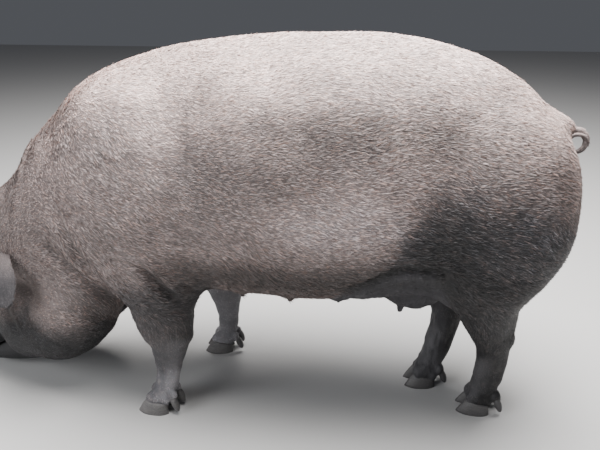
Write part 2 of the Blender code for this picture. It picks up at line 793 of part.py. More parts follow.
def dewclaw(name, x, y, side, turn):
    """One small claw behind the foot: a blunt cone pointing down and back."""
    bm = bmesh.new()
    bmesh.ops.create_uvsphere(bm, u_segments=10, v_segments=7, radius=1.0)
    for vert in bm.verts:
        z = vert.co.z
        squash = 1.0 if z > 0 else 1.0 - 0.25 * z * z
        vert.co = Vector((vert.co.x * DEWCLAW_RADIUS * squash, vert.co.y * DEWCLAW_RADIUS * squash,
                          z * DEWCLAW_LENGTH / 2))
    tilt = Matrix.Rotation(DEWCLAW_TILT, 4, "Y")
    place = Vector((DEWCLAW_BACK, side * DEWCLAW_SPACING, DEWCLAW_LIFT + DEWCLAW_LENGTH / 2))
    bm.transform(Matrix.Translation((x, y, 0)) @ Matrix.Rotation(turn, 4, "Z")
                 @ Matrix.Translation(place) @ tilt)
    return finish(bm, name, HORN, 0.5)


def eyeball(name, side):
    """An eye as a ball with a slightly raised cornea."""
    bm = bmesh.new()
    bmesh.ops.create_icosphere(bm, subdivisions=3, radius=EYE_RADIUS)
    outward = Vector((-0.45, side * 0.88, 0.12)).normalized()
    for vert in bm.verts:
        facing = vert.co.normalized().dot(outward)
        vert.co *= 1.0 + 0.06 * max(0.0, (facing - 0.80) / 0.20)
    bm.transform(Matrix.Translation(head_point(EYE_S, side * (EYE_Y - 0.004), EYE_D)))
    return finish(bm, name, DARK, 0.1)


def finish(bm, name, colour=None, roughness=0.6):
    """Turns a bmesh into an object, outward facing; without a colour it is a cutter."""
    bmesh.ops.recalc_face_normals(bm, faces=bm.faces)
    bmesh.ops.triangulate(bm, faces=bm.faces)
    if bm.calc_volume(signed=True) < 0:
        bmesh.ops.reverse_faces(bm, faces=bm.faces)
    mesh = bpy.data.meshes.new(name)
    bm.to_mesh(mesh)
    bm.free()
    item = bpy.data.objects.new(name, mesh)
    bpy.context.scene.collection.objects.link(item)
    if colour is None:
        item.hide_render = True
        item.display_type = "WIRE"
    else:
        paint(item, colour, roughness)
    return item


def skin_rings(bm, rings):
    """Joins rings of vertices into a closed tube."""
    count = len(rings[0])
    for one, two in zip(rings, rings[1:]):
        for k in range(count):
            bm.faces.new((one[k], one[(k + 1) % count], two[(k + 1) % count], two[k]))
    bm.faces.new(rings[0][::-1])
    bm.faces.new(rings[-1])


def ball(name, centre, radii, pitch=0.0, segments=20, rings=12):
    """A cutting ellipsoid turned about Y."""
    bm = bmesh.new()
    bmesh.ops.create_uvsphere(bm, u_segments=segments, v_segments=rings, radius=1.0)
    bm.transform(Matrix.Translation(centre) @ Matrix.Rotation(-pitch, 4, "Y")
                 @ Matrix.Diagonal((*radii, 1.0)))
    return finish(bm, name)


def muzzle_half_width(s):
    """Half width of the muzzle at the level of the mouth."""
    low, high = 0.0, 0.12
    d = float(mouth_line(np.array([s]))[0])
    for _ in range(22):
        y = (low + high) / 2
        if flesh(np.array([head_point(s, y, d)]))[0] < 0:
            low = y
        else:
            high = y
    return low


def mouth_blade():
    """A thin curved wedge that cuts the line of the mouth around the muzzle."""
    front = MOUTH_END_S
    path = []
    for k in range(15):
        s = MOUTH_START_S + (front - 0.030 - MOUTH_START_S) * k / 14
        path.append((s, muzzle_half_width(s), (0.0, 1.0)))
    wide = path[-1][1]
    for k in range(1, 7):
        turn = math.pi / 2 * k / 6
        s = front - 0.030 + 0.030 * math.sin(turn)
        path.append((s, wide * math.cos(turn), (math.sin(turn), math.cos(turn))))
    mirrored = [(s, -y, (n[0], -n[1])) for s, y, n in path[:-1]]
    path = path + mirrored[::-1]
    bm = bmesh.new()
    rings = []
    for k, (s, y, n) in enumerate(path):
        ends = min(k, len(path) - 1 - k)
        open_by = min(1.0, (ends + 0.3) / 3)
        d = float(mouth_line(np.array([s]))[0])
        inner = (s - n[0] * MOUTH_DEPTH * open_by, y - n[1] * MOUTH_DEPTH * open_by)
        outer = (s + n[0] * 0.006, y + n[1] * 0.006)
        half = MOUTH_HALF_HEIGHT * (0.35 + 0.65 * open_by)
        corners = (head_point(*inner, d), head_point(*outer, d + half),
                   head_point(*outer, d - half))
        rings.append([bm.verts.new(c) for c in corners])
    skin_rings(bm, rings)
    return finish(bm, "blade")


def make_head(eyes, ears):
    """Head and snout with the mouth, nostrils, lids and sockets for eyes and ears."""
    low = (-1.02, -0.24, -0.005)
    high = (-0.42, 0.24, 0.56)
    whole = region("head", flesh, low, high, 0.0050, HEAD_TRIANGLES)
    for side in (-1, 1):
        hole = head_point(DISC_S + 0.008, side * NOSTRIL[0], DISC_D + 0.003)
        combine(whole, ball("cut", hole, (0.022, *NOSTRIL[1:]), HEAD_PITCH, 12, 8), "DIFFERENCE")
        lid = head_point(EYE_S, side * (EYE_Y + 0.012), EYE_D)
        radii = (EYE_OPENING[0], 0.015, EYE_OPENING[1])
        combine(whole, ball("cut", lid, radii, HEAD_PITCH, 16, 10), "DIFFERENCE")
    combine(whole, mouth_blade(), "DIFFERENCE")
    for item in eyes + ears:
        combine(whole, grown(item, GAP), "DIFFERENCE")
    snout = bpy.data.objects.new("snout", whole.data.copy())
    bpy.context.scene.collection.objects.link(snout)
    tip = head_point(SNOUT_CUT_S, 0, DISC_D)
    combine(snout, slab("cut", tip, HEAD_PITCH, GAP / 2, 0.2), "INTERSECT")
    combine(whole, slab("cut", HEAD_PLANE, HEAD_TURN, GAP / 2, 0.6), "INTERSECT")
    combine(whole, slab("cut", tip, HEAD_PITCH, -GAP / 2, 0.2), "DIFFERENCE")
    largest_shell(whole)
    largest_shell(snout)
    paint(whole, HIDE)
    paint(snout, PINK)


def make_ears():
    """Both ears as bent leaves with a cup on the inner face."""
    made = []
    for name, side in (("ear_left", -1), ("ear_right", 1)):
        bm = bmesh.new()
        rings = []
        for k in range(EAR_STEPS + 1):
            a = -0.10 + 1.12 * k / EAR_STEPS
            turns = [math.cos(math.pi * i / EAR_ACROSS) for i in range(EAR_ACROSS + 1)]
            outer = [ear_point(a, b, 1, side) for b in turns]
            inner = [ear_point(a, -b, -1, side) for b in turns[1:-1]]
            rings.append([bm.verts.new(v) for v in outer + inner])
        skin_rings(bm, rings)
        made.append(finish(bm, name, HIDE))
    return made


def make_body():
    """Torso, neck, udder, tail, and the upper legs cut from one skin."""
    low = (-0.86, -0.36, 0.13)
    high = (0.72, 0.36, 0.96)
    whole = region("torso", flesh, low, high, 0.0105, BODY_TRIANGLES)
    tail_item = region("tail", tail, np.array(TAIL_ROOT) - 0.07, np.array(TAIL_ROOT) + 0.10,
                       0.0026, TAIL_TRIANGLES)
    combine(whole, grown(tail_item, GAP), "DIFFERENCE")
    paint(tail_item, HIDE)
    neck = copy_of(whole, "neck")
    combine(neck, slab("cut", HEAD_PLANE, HEAD_TURN, -GAP / 2, 1.0), "DIFFERENCE")
    combine(neck, slab("cut", NECK_PLANE, NECK_TURN, GAP / 2, 0.8), "INTERSECT")
    combine(whole, slab("cut", NECK_PLANE, NECK_TURN, -GAP / 2, 0.8), "DIFFERENCE")
    paint(neck, HIDE)
    udder_item = copy_of(whole, "udder")
    combine(udder_item, box("cut", *UDDER_BOX), "INTERSECT")
    low = [v - GAP for v in UDDER_BOX[0]]
    high = [v + GAP for v in UDDER_BOX[1]]
    combine(whole, box("cut", low, high), "DIFFERENCE")
    paint(udder_item, PINK)
    for foot in FEET:
        low, high = UPPER_BOX[foot]
        upper = copy_of(whole, leg_name(foot, "upper"))
        combine(upper, box("cut", low, high), "INTERSECT")
        grown_low = [v - GAP for v in low]
        grown_high = [v + GAP for v in high]
        combine(whole, box("cut", grown_low, grown_high), "DIFFERENCE")
        joint = joint_height(foot)
        combine(upper, box("cut", (-2, -2, -1), (2, 2, joint + GAP / 2)), "DIFFERENCE")
        largest_shell(upper)
        paint(upper, HIDE if foot.startswith("fore") else MUD)
    largest_shell(whole)
    paint(whole, HIDE)


def leg_name(foot, part):
    """Node name of one part of a leg."""
    pair, side = foot.split("_")
    return f"{pair}leg_{side}_{part}"


def joint_height(foot):
    """Height of the knee or hock."""
    return KNEE_Z if foot.startswith("fore") else HOCK_Z


def copy_of(item, name):
    """A copy of an object with its own mesh."""
    copy = bpy.data.objects.new(name, item.data.copy())
    bpy.context.scene.collection.objects.link(copy)
    return copy


def make_foot(foot):
    """Lower leg with its toes, and its four claws."""
    x, y = FEET[foot][:2]
    joint = joint_height(foot)
    turn = TOE_OUT if y > 0 else -TOE_OUT
    low = (x - 0.085, y - 0.085, 0.008)
    high = (x + 0.150, y + 0.085, joint + 0.030)
    lower = region(leg_name(foot, "lower"), flesh, low, high, 0.0050, FOOT_TRIANGLES)
    combine(lower, box("cut", (-2, -2, joint - GAP / 2), (2, 2, 1)), "DIFFERENCE")
    slope = math.atan2(CORONET_FRONT - CORONET_HEEL, CLAW_LENGTH)
    tilt = Matrix.Rotation(turn, 4, "Z") @ Matrix.Rotation(slope, 4, "Y")
    at = (x, y, coronet_height(0))
    combine(lower, box("cut", (-1, -1, -1), (1, 1, 0), tilt, at), "DIFFERENCE")
    tag = foot[0] + foot.split("_")[1][0]
    for side in (-1, 1):
        outer = (side > 0) == (y > 0)
        label = "outer" if outer else "inner"
        claw(f"claw_{tag}_{label}", x, y, side, turn)
        small = dewclaw(f"dewclaw_{tag}_{label}", x, y, side, turn)
        combine(lower, grown(small, GAP), "DIFFERENCE")
    largest_shell(lower)
    paint(lower, PALE if foot.startswith("fore") else MUD)


def main():
    """Builds every node."""
    for item in list(bpy.data.objects):
        bpy.data.objects.remove(item)
    eyes = [eyeball("eye_left", -1), eyeball("eye_right", 1)]
    ears = make_ears()
    make_head(eyes, ears)
    make_body()
    for foot in FEET:
        make_foot(foot)
    for item in bpy.data.objects:
        item.data.transform(Matrix.Translation((-CENTRE_X, 0, 0)))


main()
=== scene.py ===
"""The looks of a heavy sow that stands with her head down to feed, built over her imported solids.

Lengths are in metres. She is laid out facing -X with her left side toward -Y, and every mesh is
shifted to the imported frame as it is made. The skin is one smooth field, meshed finely, and the
coat is short bristle that lies over it as thin tapered tufts.
"""

from __future__ import annotations

import itertools
import logging
import math
from collections.abc import Callable
from dataclasses import dataclass, field
from enum import Enum

import bpy
import numpy as np
from bpy.types import ID, Material, Node, NodeSocket, Object
from mathutils import Matrix, Vector

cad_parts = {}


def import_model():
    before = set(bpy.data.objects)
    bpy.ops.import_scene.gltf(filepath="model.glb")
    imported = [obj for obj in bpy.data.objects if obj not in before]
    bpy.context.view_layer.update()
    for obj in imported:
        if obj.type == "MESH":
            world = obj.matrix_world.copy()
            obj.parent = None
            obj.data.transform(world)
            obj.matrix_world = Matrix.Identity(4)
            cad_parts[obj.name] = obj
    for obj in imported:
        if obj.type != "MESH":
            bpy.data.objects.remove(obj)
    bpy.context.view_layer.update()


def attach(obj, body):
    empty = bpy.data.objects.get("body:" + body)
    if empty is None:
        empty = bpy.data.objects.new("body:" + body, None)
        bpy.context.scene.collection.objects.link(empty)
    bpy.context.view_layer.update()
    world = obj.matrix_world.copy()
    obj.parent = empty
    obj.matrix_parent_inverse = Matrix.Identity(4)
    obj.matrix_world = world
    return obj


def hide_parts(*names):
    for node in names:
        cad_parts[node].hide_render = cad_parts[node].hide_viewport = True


log = logging.getLogger("sow")

Array = np.ndarray
Field = Callable[[Array], Array]
Row = tuple[float, ...]
Table = tuple[Row, ...]
Pair = tuple[float, float]
Point = tuple[float, float, float]
Colour = tuple[float, float, float]

SIDES = (-1, 1)
BAKE_MAP = "OFBake"


def ease(low: float, high: float, at: Array) -> Array:
    """Rises smoothly from 0 at low to 1 at high."""
    t = np.clip((at - low) / (high - low), 0.0, 1.0)
    return t * t * (3.0 - 2.0 * t)


def bell(at: Array, middle: float, spread: float) -> Array:
    """A hump of height 1 round a middle."""
    return np.exp(-(((at - middle) / spread) ** 2))


def smooth_min(a: Array, b: Array, blend: float) -> Array:
    """Union of two fields with a fillet about as wide as blend."""
    h = np.clip(0.5 + 0.5 * (b - a) / blend, 0.0, 1.0)
    return b * (1.0 - h) + a * h - blend * h * (1.0 - h)


def smooth_max(a: Array, b: Array, blend: float) -> Array:
    """Intersection of two fields with a rounded edge."""
    return -smooth_min(-a, -b, blend)


def unit(vectors: Array) -> Array:
    """Rows scaled to length one."""
    return vectors / np.maximum(np.linalg.norm(vectors, axis=1), 1e-9)[:, None]


def tube_quads(rings: int, around: int) -> list[tuple[int, ...]]:
    """Quads that join rings of points, numbered one ring after the other."""
    return [(k * around + i, k * around + (i + 1) % around,
             (k + 1) * around + (i + 1) % around, (k + 1) * around + i)
            for k in range(rings - 1) for i in range(around)]


def cap_quads(start: int, around: int) -> list[tuple[int, ...]]:
    """Quads that close the ring whose first point has the number start."""
    return [(start + i, start + i + 1, start + around - 2 - i, start + around - 1 - i)
            for i in range(around // 2 - 1)]


class Profile:
    """A smooth curve through knots that does not overshoot them, kept as a dense table."""

    count = 1200

    def __init__(self, knots: Array | Row, values: Array | Row) -> None:
        """Works the curve out once.

        Args:
            knots: Places along the curve, rising.
            values: Heights at the knots.
        """
        k = np.asarray(knots, float)
        v = np.asarray(values, float)
        steps = np.diff(k)
        slopes = np.diff(v) / steps
        tangents = np.zeros(len(k))
        tangents[0], tangents[-1] = slopes[0], slopes[-1]
        rising = slopes[:-1] * slopes[1:] > 0
        total = np.where(rising, slopes[:-1] + slopes[1:], 1.0)
        tangents[1:-1] = np.where(rising, 2 * slopes[:-1] * slopes[1:] / total, 0.0)
        at = np.linspace(k[0], k[-1], self.count)
        cell = np.clip(np.searchsorted(k, at) - 1, 0, len(steps) - 1)
        t = np.clip((at - k[cell]) / steps[cell], 0.0, 1.0)
        t2, t3 = t * t, t * t * t
        table = (2 * t3 - 3 * t2 + 1) * v[cell] + (3 * t2 - 2 * t3) * v[cell + 1]
        table += (t3 - 2 * t2 + t) * steps[cell] * tangents[cell]
        table += (t3 - t2) * steps[cell] * tangents[cell + 1]
        self.low = float(k[0])
        self.scale = (self.count - 1) / float(k[-1] - k[0])
        self.last = self.count - 1.001
        self.table = table
        self.rise = np.append(np.diff(table), 0.0)

    def __call__(self, at: Array | float) -> Array:
        """Heights of the curve at one place or many."""
        t = np.clip((at - self.low) * self.scale, 0.0, self.last)
        i = t.astype(np.int32)
        return self.table[i] + (t - i) * self.rise[i]


def profiles(table: Table) -> list[Profile]:
    """One profile for each column of a table of stations, along its first column."""
    columns = list(zip(*table))
    return [Profile(columns[0], column) for column in columns[1:]]


def smooth_path(knots: Array, count: int) -> Array:
    """Places at equal steps along a smooth curve through knots."""
    steps = np.linalg.norm(np.diff(knots, axis=0), axis=1)
    along = np.concatenate(([0.0], np.cumsum(steps)))
    at = np.linspace(0, along[-1], count)
    return np.stack([Profile(along, knots[:, i])(at) for i in range(3)], 1)


def square_to(axis: Array, vector: Point) -> Array:
    """The unit vector nearest to a vector that is square to an axis."""
    rest = vector - axis * (vector @ axis)
    return rest / np.linalg.norm(rest)


class Mottle:
    """Smooth random values in space, between -1 and 1, the same at every run."""

    def __init__(self, seed: int) -> None:
        """Draws the lattice of values from a seed."""
        self.lattice = np.random.default_rng(seed).uniform(-1, 1, (64, 64, 64)).astype(np.float32)

    def layer(self, points: Array, size: float) -> Array:
        """One octave of noise with cells of one size.

        Args:
            points: Places, one a row.
            size: Size of the cells.

        Returns:
            One value for each place.
        """
        q = points / size + 31.7
        base = np.floor(q).astype(int)
        t = q - base
        t = t * t * (3 - 2 * t)
        base &= 63
        step = (base + 1) & 63
        result = np.zeros(len(points))
        for far in itertools.product((False, True), repeat=3):
            x, y, z = (np.where(far, step, base)).T
            weight_x, weight_y, weight_z = (np.where(far, t, 1 - t)).T
            result += self.lattice[x, y, z] * (weight_x * weight_y) * weight_z
        return result

    def __call__(self, points: Array, size: float, octaves: int = 1) -> Array:
        """Sum of octaves, each half the size and half the strength of the one before.

        Args:
            points: Places, one a row.
            size: Size of the largest cells.
            octaves: How many layers are added.

        Returns:
            One value for each place.
        """
        total = np.zeros(len(points))
        for k in range(octaves):
            total += self.layer(points + 3.1 * k, size / 2**k) / 2**k
        return total


@dataclass(frozen=True)
class Mass:
    """A rounded mass of flesh: its middle, its half lengths, its fillet and its pitch."""

    at: Point
    radii: Point
    blend: float
    pitch: float = 0.0


@dataclass(frozen=True)
class Anatomy:
    """The named sizes of the sow that every piece is built from."""

    centre_x: float = -0.175
    # Trunk stations: x, top, widest height, bottom, half width
    trunk: Table = (
        (-0.640, 0.660, 0.500, 0.340, 0.101),
        (-0.580, 0.722, 0.520, 0.310, 0.151),
        (-0.480, 0.822, 0.550, 0.300, 0.197),
        (-0.380, 0.866, 0.570, 0.312, 0.227),
        (-0.270, 0.894, 0.580, 0.322, 0.247),
        (-0.140, 0.911, 0.590, 0.316, 0.265),
        (0.000, 0.920, 0.590, 0.309, 0.276),
        (0.130, 0.922, 0.590, 0.312, 0.275),
        (0.250, 0.913, 0.590, 0.328, 0.262),
        (0.360, 0.887, 0.590, 0.350, 0.240),
        (0.460, 0.842, 0.590, 0.400, 0.209),
        (0.540, 0.774, 0.590, 0.455, 0.165),
        (0.580, 0.722, 0.590, 0.490, 0.124),
        (0.603, 0.672, 0.590, 0.525, 0.078),
        (0.615, 0.610, 0.590, 0.570, 0.027),
    )
    trunk_power: float = 2.25
    shoulder: Mass = Mass((-0.36, 0.15, 0.57), (0.14, 0.094, 0.25), 0.08, 0.2)
    haunch: Mass = Mass((0.43, 0.132, 0.57), (0.165, 0.112, 0.2), 0.07, -0.25)
    buttock: Mass = Mass((0.485, 0.11, 0.515), (0.1, 0.093, 0.125), 0.05)
    brisket: Mass = Mass((-0.4, 0.0, 0.38), (0.11, 0.12, 0.09), 0.06)
    # Head frame: origin and pitch below the horizon; s runs to the snout, d up to the forehead
    head_origin: Point = (-0.62, 0.0, 0.4)
    head_pitch: float = math.radians(50.0)
    # Neck, skull and jaw stations: s, middle d, half depth, half width
    neck: Table = (
        (-0.46, -0.050, 0.130, 0.130),
        (-0.34, -0.035, 0.185, 0.175),
        (-0.22, -0.025, 0.200, 0.178),
        (-0.10, -0.010, 0.198, 0.165),
        (0.00, 0.000, 0.192, 0.148),
        (0.08, 0.010, 0.165, 0.120),
        (0.14, 0.020, 0.080, 0.060),
    )
    skull: Table = (
        (-0.06, 0.100, 0.065, 0.070),
        (0.00, 0.100, 0.096, 0.105),
        (0.07, 0.096, 0.104, 0.112),
        (0.14, 0.086, 0.101, 0.105),
        (0.21, 0.068, 0.093, 0.091),
        (0.28, 0.046, 0.084, 0.076),
        (0.34, 0.028, 0.079, 0.064),
        (0.38, 0.026, 0.067, 0.055),
        (0.42, 0.030, 0.053, 0.049),
        (0.455, 0.036, 0.042, 0.045),
        (0.475, 0.038, 0.038, 0.045),
        (0.488, 0.038, 0.037, 0.046),
    )
    jaw: Table = (
        (0.08, -0.110, 0.100, 0.070),
        (0.16, -0.126, 0.108, 0.084),
        (0.24, -0.125, 0.100, 0.080),
        (0.31, -0.107, 0.074, 0.064),
        (0.37, -0.083, 0.054, 0.050),
        (0.41, -0.059, 0.043, 0.041),
        (0.44, -0.039, 0.029, 0.034),
        (0.458, -0.027, 0.016, 0.025),
    )
    # Masses on either side of the head, in its frame
    jowl: Mass = Mass((0.095, 0.086, -0.142), (0.168, 0.086, 0.104), 0.05)
    brow: Mass = Mass((0.24, 0.052, 0.114), (0.048, 0.026, 0.024), 0.03)
    jaw_muscle: Mass = Mass((0.215, 0.052, -0.025), (0.1, 0.042, 0.08), 0.035)
    cheek: Mass = Mass((0.205, 0.066, -0.085), (0.125, 0.062, 0.085), 0.045)
    eyeball_bed: Mass = Mass((0.262, 0.077, 0.09), (0.024, 0.015, 0.018), 0.01)
    ear_base: Mass = Mass((0.12, 0.078, 0.118), (0.06, 0.04, 0.05), 0.035)
    upper_lip: Mass = Mass((0.385, 0.036, -0.014), (0.06, 0.018, 0.016), 0.012)
    disc_s: float = 0.486
    disc_d: float = 0.038
    disc_half: Pair = (0.037, 0.044)
    nostril: Point = (0.017, 0.0085, 0.0065)
    mouth: Table = ((0.29, -0.054), (0.32, -0.055), (0.38, -0.038), (0.43, -0.018), (0.47, -0.006))
    mouth_ends: Pair = (0.318, 0.458)
    eye: Point = (0.262, 0.08, 0.09)
    eye_radius: float = 0.0125
    eye_opening: Pair = (0.0125, 0.0068)
    ear_root: Point = (-0.808, -0.087, 0.408)
    ear_tip: Point = (-0.668, -0.205, 0.312)
    ear_half_width: float = 0.066
    ear_half_thick: float = 0.0052
    ear_outward: Point = (-0.25, -0.8, 0.5)
    ear_widths: tuple[Row, Row] = (
        (-0.10, 0.05, 0.35, 0.7, 0.92, 1.02), (0.42, 0.60, 1.0, 0.80, 0.40, 0.12))
    # Leg stations: height, forward offset, half length, half width
    fore_leg: Table = (
        (0.020, 0.010, 0.024, 0.023),
        (0.045, 0.014, 0.027, 0.026),
        (0.070, 0.026, 0.031, 0.027),
        (0.110, 0.036, 0.031, 0.026),
        (0.150, 0.042, 0.037, 0.031),
        (0.185, 0.047, 0.046, 0.037),
        (0.230, 0.043, 0.066, 0.045),
        (0.270, 0.040, 0.074, 0.053),
        (0.315, 0.037, 0.082, 0.062),
        (0.400, 0.030, 0.100, 0.070),
        (0.480, 0.015, 0.110, 0.060),
    )
    hind_leg: Table = (
        (0.020, 0.010, 0.024, 0.023),
        (0.045, 0.012, 0.029, 0.026),
        (0.075, 0.018, 0.036, 0.028),
        (0.110, 0.024, 0.037, 0.028),
        (0.160, 0.025, 0.038, 0.033),
        (0.200, 0.022, 0.041, 0.037),
        (0.235, 0.013, 0.050, 0.044),
        (0.270, 0.003, 0.061, 0.054),
        (0.310, -0.009, 0.072, 0.066),
        (0.350, -0.020, 0.085, 0.077),
        (0.420, -0.025, 0.105, 0.085),
        (0.500, -0.020, 0.115, 0.070),
    )
    claw_toe: float = -0.047
    claw_length: float = 0.084
    claw_slope: float = 0.027
    claw_width: float = 0.036
    claw_spacing: float = 0.019
    coronet_front: float = 0.04
    coronet_heel: float = 0.024
    toe_out: float = math.radians(5.0)
    dewclaw_radius: float = 0.0105
    dewclaw_length: float = 0.04
    dewclaw_lift: float = 0.01
    dewclaw_back: float = 0.058
    dewclaw_tilt: float = math.radians(-20.0)
    udder: Row = (0.272, 0.066, 0.362, 0.085, 0.064, 0.066)
    teat_first_x: float = -0.25
    teat_step: float = 0.118
    teat_count: int = 4
    teat_y: float = 0.085
    teat_radius: float = 0.0085
    teat_length: float = 0.023
    tail_root: Point = (0.58, 0.0, 0.715)
    tail_radii: Pair = (0.014, 0.005)
    tail_curl: float = 0.023
    tail_turns: float = 1.25

    def place(self, points: Array) -> Array:
        """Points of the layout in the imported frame."""
        return np.asarray(points, float) - (self.centre_x, 0.0, 0.0)


class Foot(Enum):
    """The four feet: sole centre x and y, then where the leg joins the body, x and y."""

    FORE_LEFT = (-0.352, -0.146, -0.352, -0.15)
    FORE_RIGHT = (-0.255, 0.142, -0.34, 0.15)
    HIND_LEFT = (0.457, -0.05, 0.457, -0.125)
    HIND_RIGHT = (0.327, 0.046, 0.43, 0.125)

    @property
    def fore(self) -> bool:
        """True for a forefoot."""
        return self.name.startswith("FORE")

    @property
    def tag(self) -> str:
        """Two letters that the foot's nodes carry."""
        return "".join(word[0] for word in self.name.lower().split("_"))

    @property
    def leg(self) -> str:
        """Start of the names of the leg's nodes."""
        pair, side = self.name.lower().split("_")
        return f"{pair}leg_{side}"


def ellipsoid(p: Array, centre: Point, radii: Point, pitch: float = 0.0) -> Array:
    """Distance-like field of an ellipsoid turned about Y.

    Args:
        p: Places, one a row.
        centre: Its middle.
        radii: Its three half lengths.
        pitch: Turn of its first axis up from X.

    Returns:
        Negative values inside, positive outside.
    """
    q = p - centre
    if pitch:
        c, s = math.cos(pitch), math.sin(pitch)
        x, y, z = q.T
        q = np.stack((x * c + z * s, y, z * c - x * s), 1)
    r = np.asarray(radii)
    near = np.sqrt(((q / r) ** 2).sum(1))
    slope = np.sqrt(((q / (r * r)) ** 2).sum(1))
    return near * (near - 1) / np.maximum(slope, 1e-6)


def oval(a: Array, b: Array, half_a: Array, half_b: Array, power: float = 2.0) -> Array:
    """Distance-like field of an oval section.

    Args:
        a: Offsets along its first axis.
        b: Offsets along its second axis.
        half_a: Half size along the first axis.
        half_b: Half size along the second axis.
        power: 2 for an ellipse, more for a squarer oval.

    Returns:
        Negative values inside, positive outside.
    """
    u = np.abs(a) / half_a
    v = np.abs(b) / half_b
    near = (u**power + v**power) ** (1 / power)
    slope = np.sqrt((u / half_a) ** 2 + (v / half_b) ** 2)
    return near * (near - 1) / np.maximum(slope, 1e-6)


class Form:
    """A field filled in step by step at a fixed set of places."""

    def __init__(self, points: Array, start: Array) -> None:
        """Keeps the places and the first form's values."""
        self.p = points
        self.f = start

    def near(self, low: Array, high: Array) -> Array:
        """Which places lie in a box."""
        return np.all((self.p > low) & (self.p < high), 1)

    def add(self, function: Field, low: Point, high: Point, blend: float, pad: float = 0.05) -> None:
        """Blends one more form in, only where its box can reach.

        Args:
            function: Field of the form.
            low: Lowest corner of its box.
            high: Highest corner of its box.
            blend: Width of the fillet.
            pad: How far beyond the box it is still worked out.
        """
        near = self.near(np.asarray(low) - pad, np.asarray(high) + pad)
        if near.any():
            self.f[near] = smooth_min(self.f[near], function(self.p[near]), blend)

    def ball(self, centre: Point, radii: Point, blend: float, pitch: float = 0.0) -> None:
        """Blends in an ellipsoid."""
        at = np.asarray(centre)
        reach = max(radii)
        self.add(lambda q: ellipsoid(q, centre, radii, pitch), at - reach, at + reach, blend)

    def carve(self, function: Field, centre: Point, reach: float, blend: float) -> None:
        """Cuts a form out with a rounded rim, within reach of a place."""
        at = np.asarray(centre)
        near = self.near(at - reach, at + reach)
        if near.any():
            self.f[near] = smooth_max(self.f[near], -function(self.p[near]), blend)


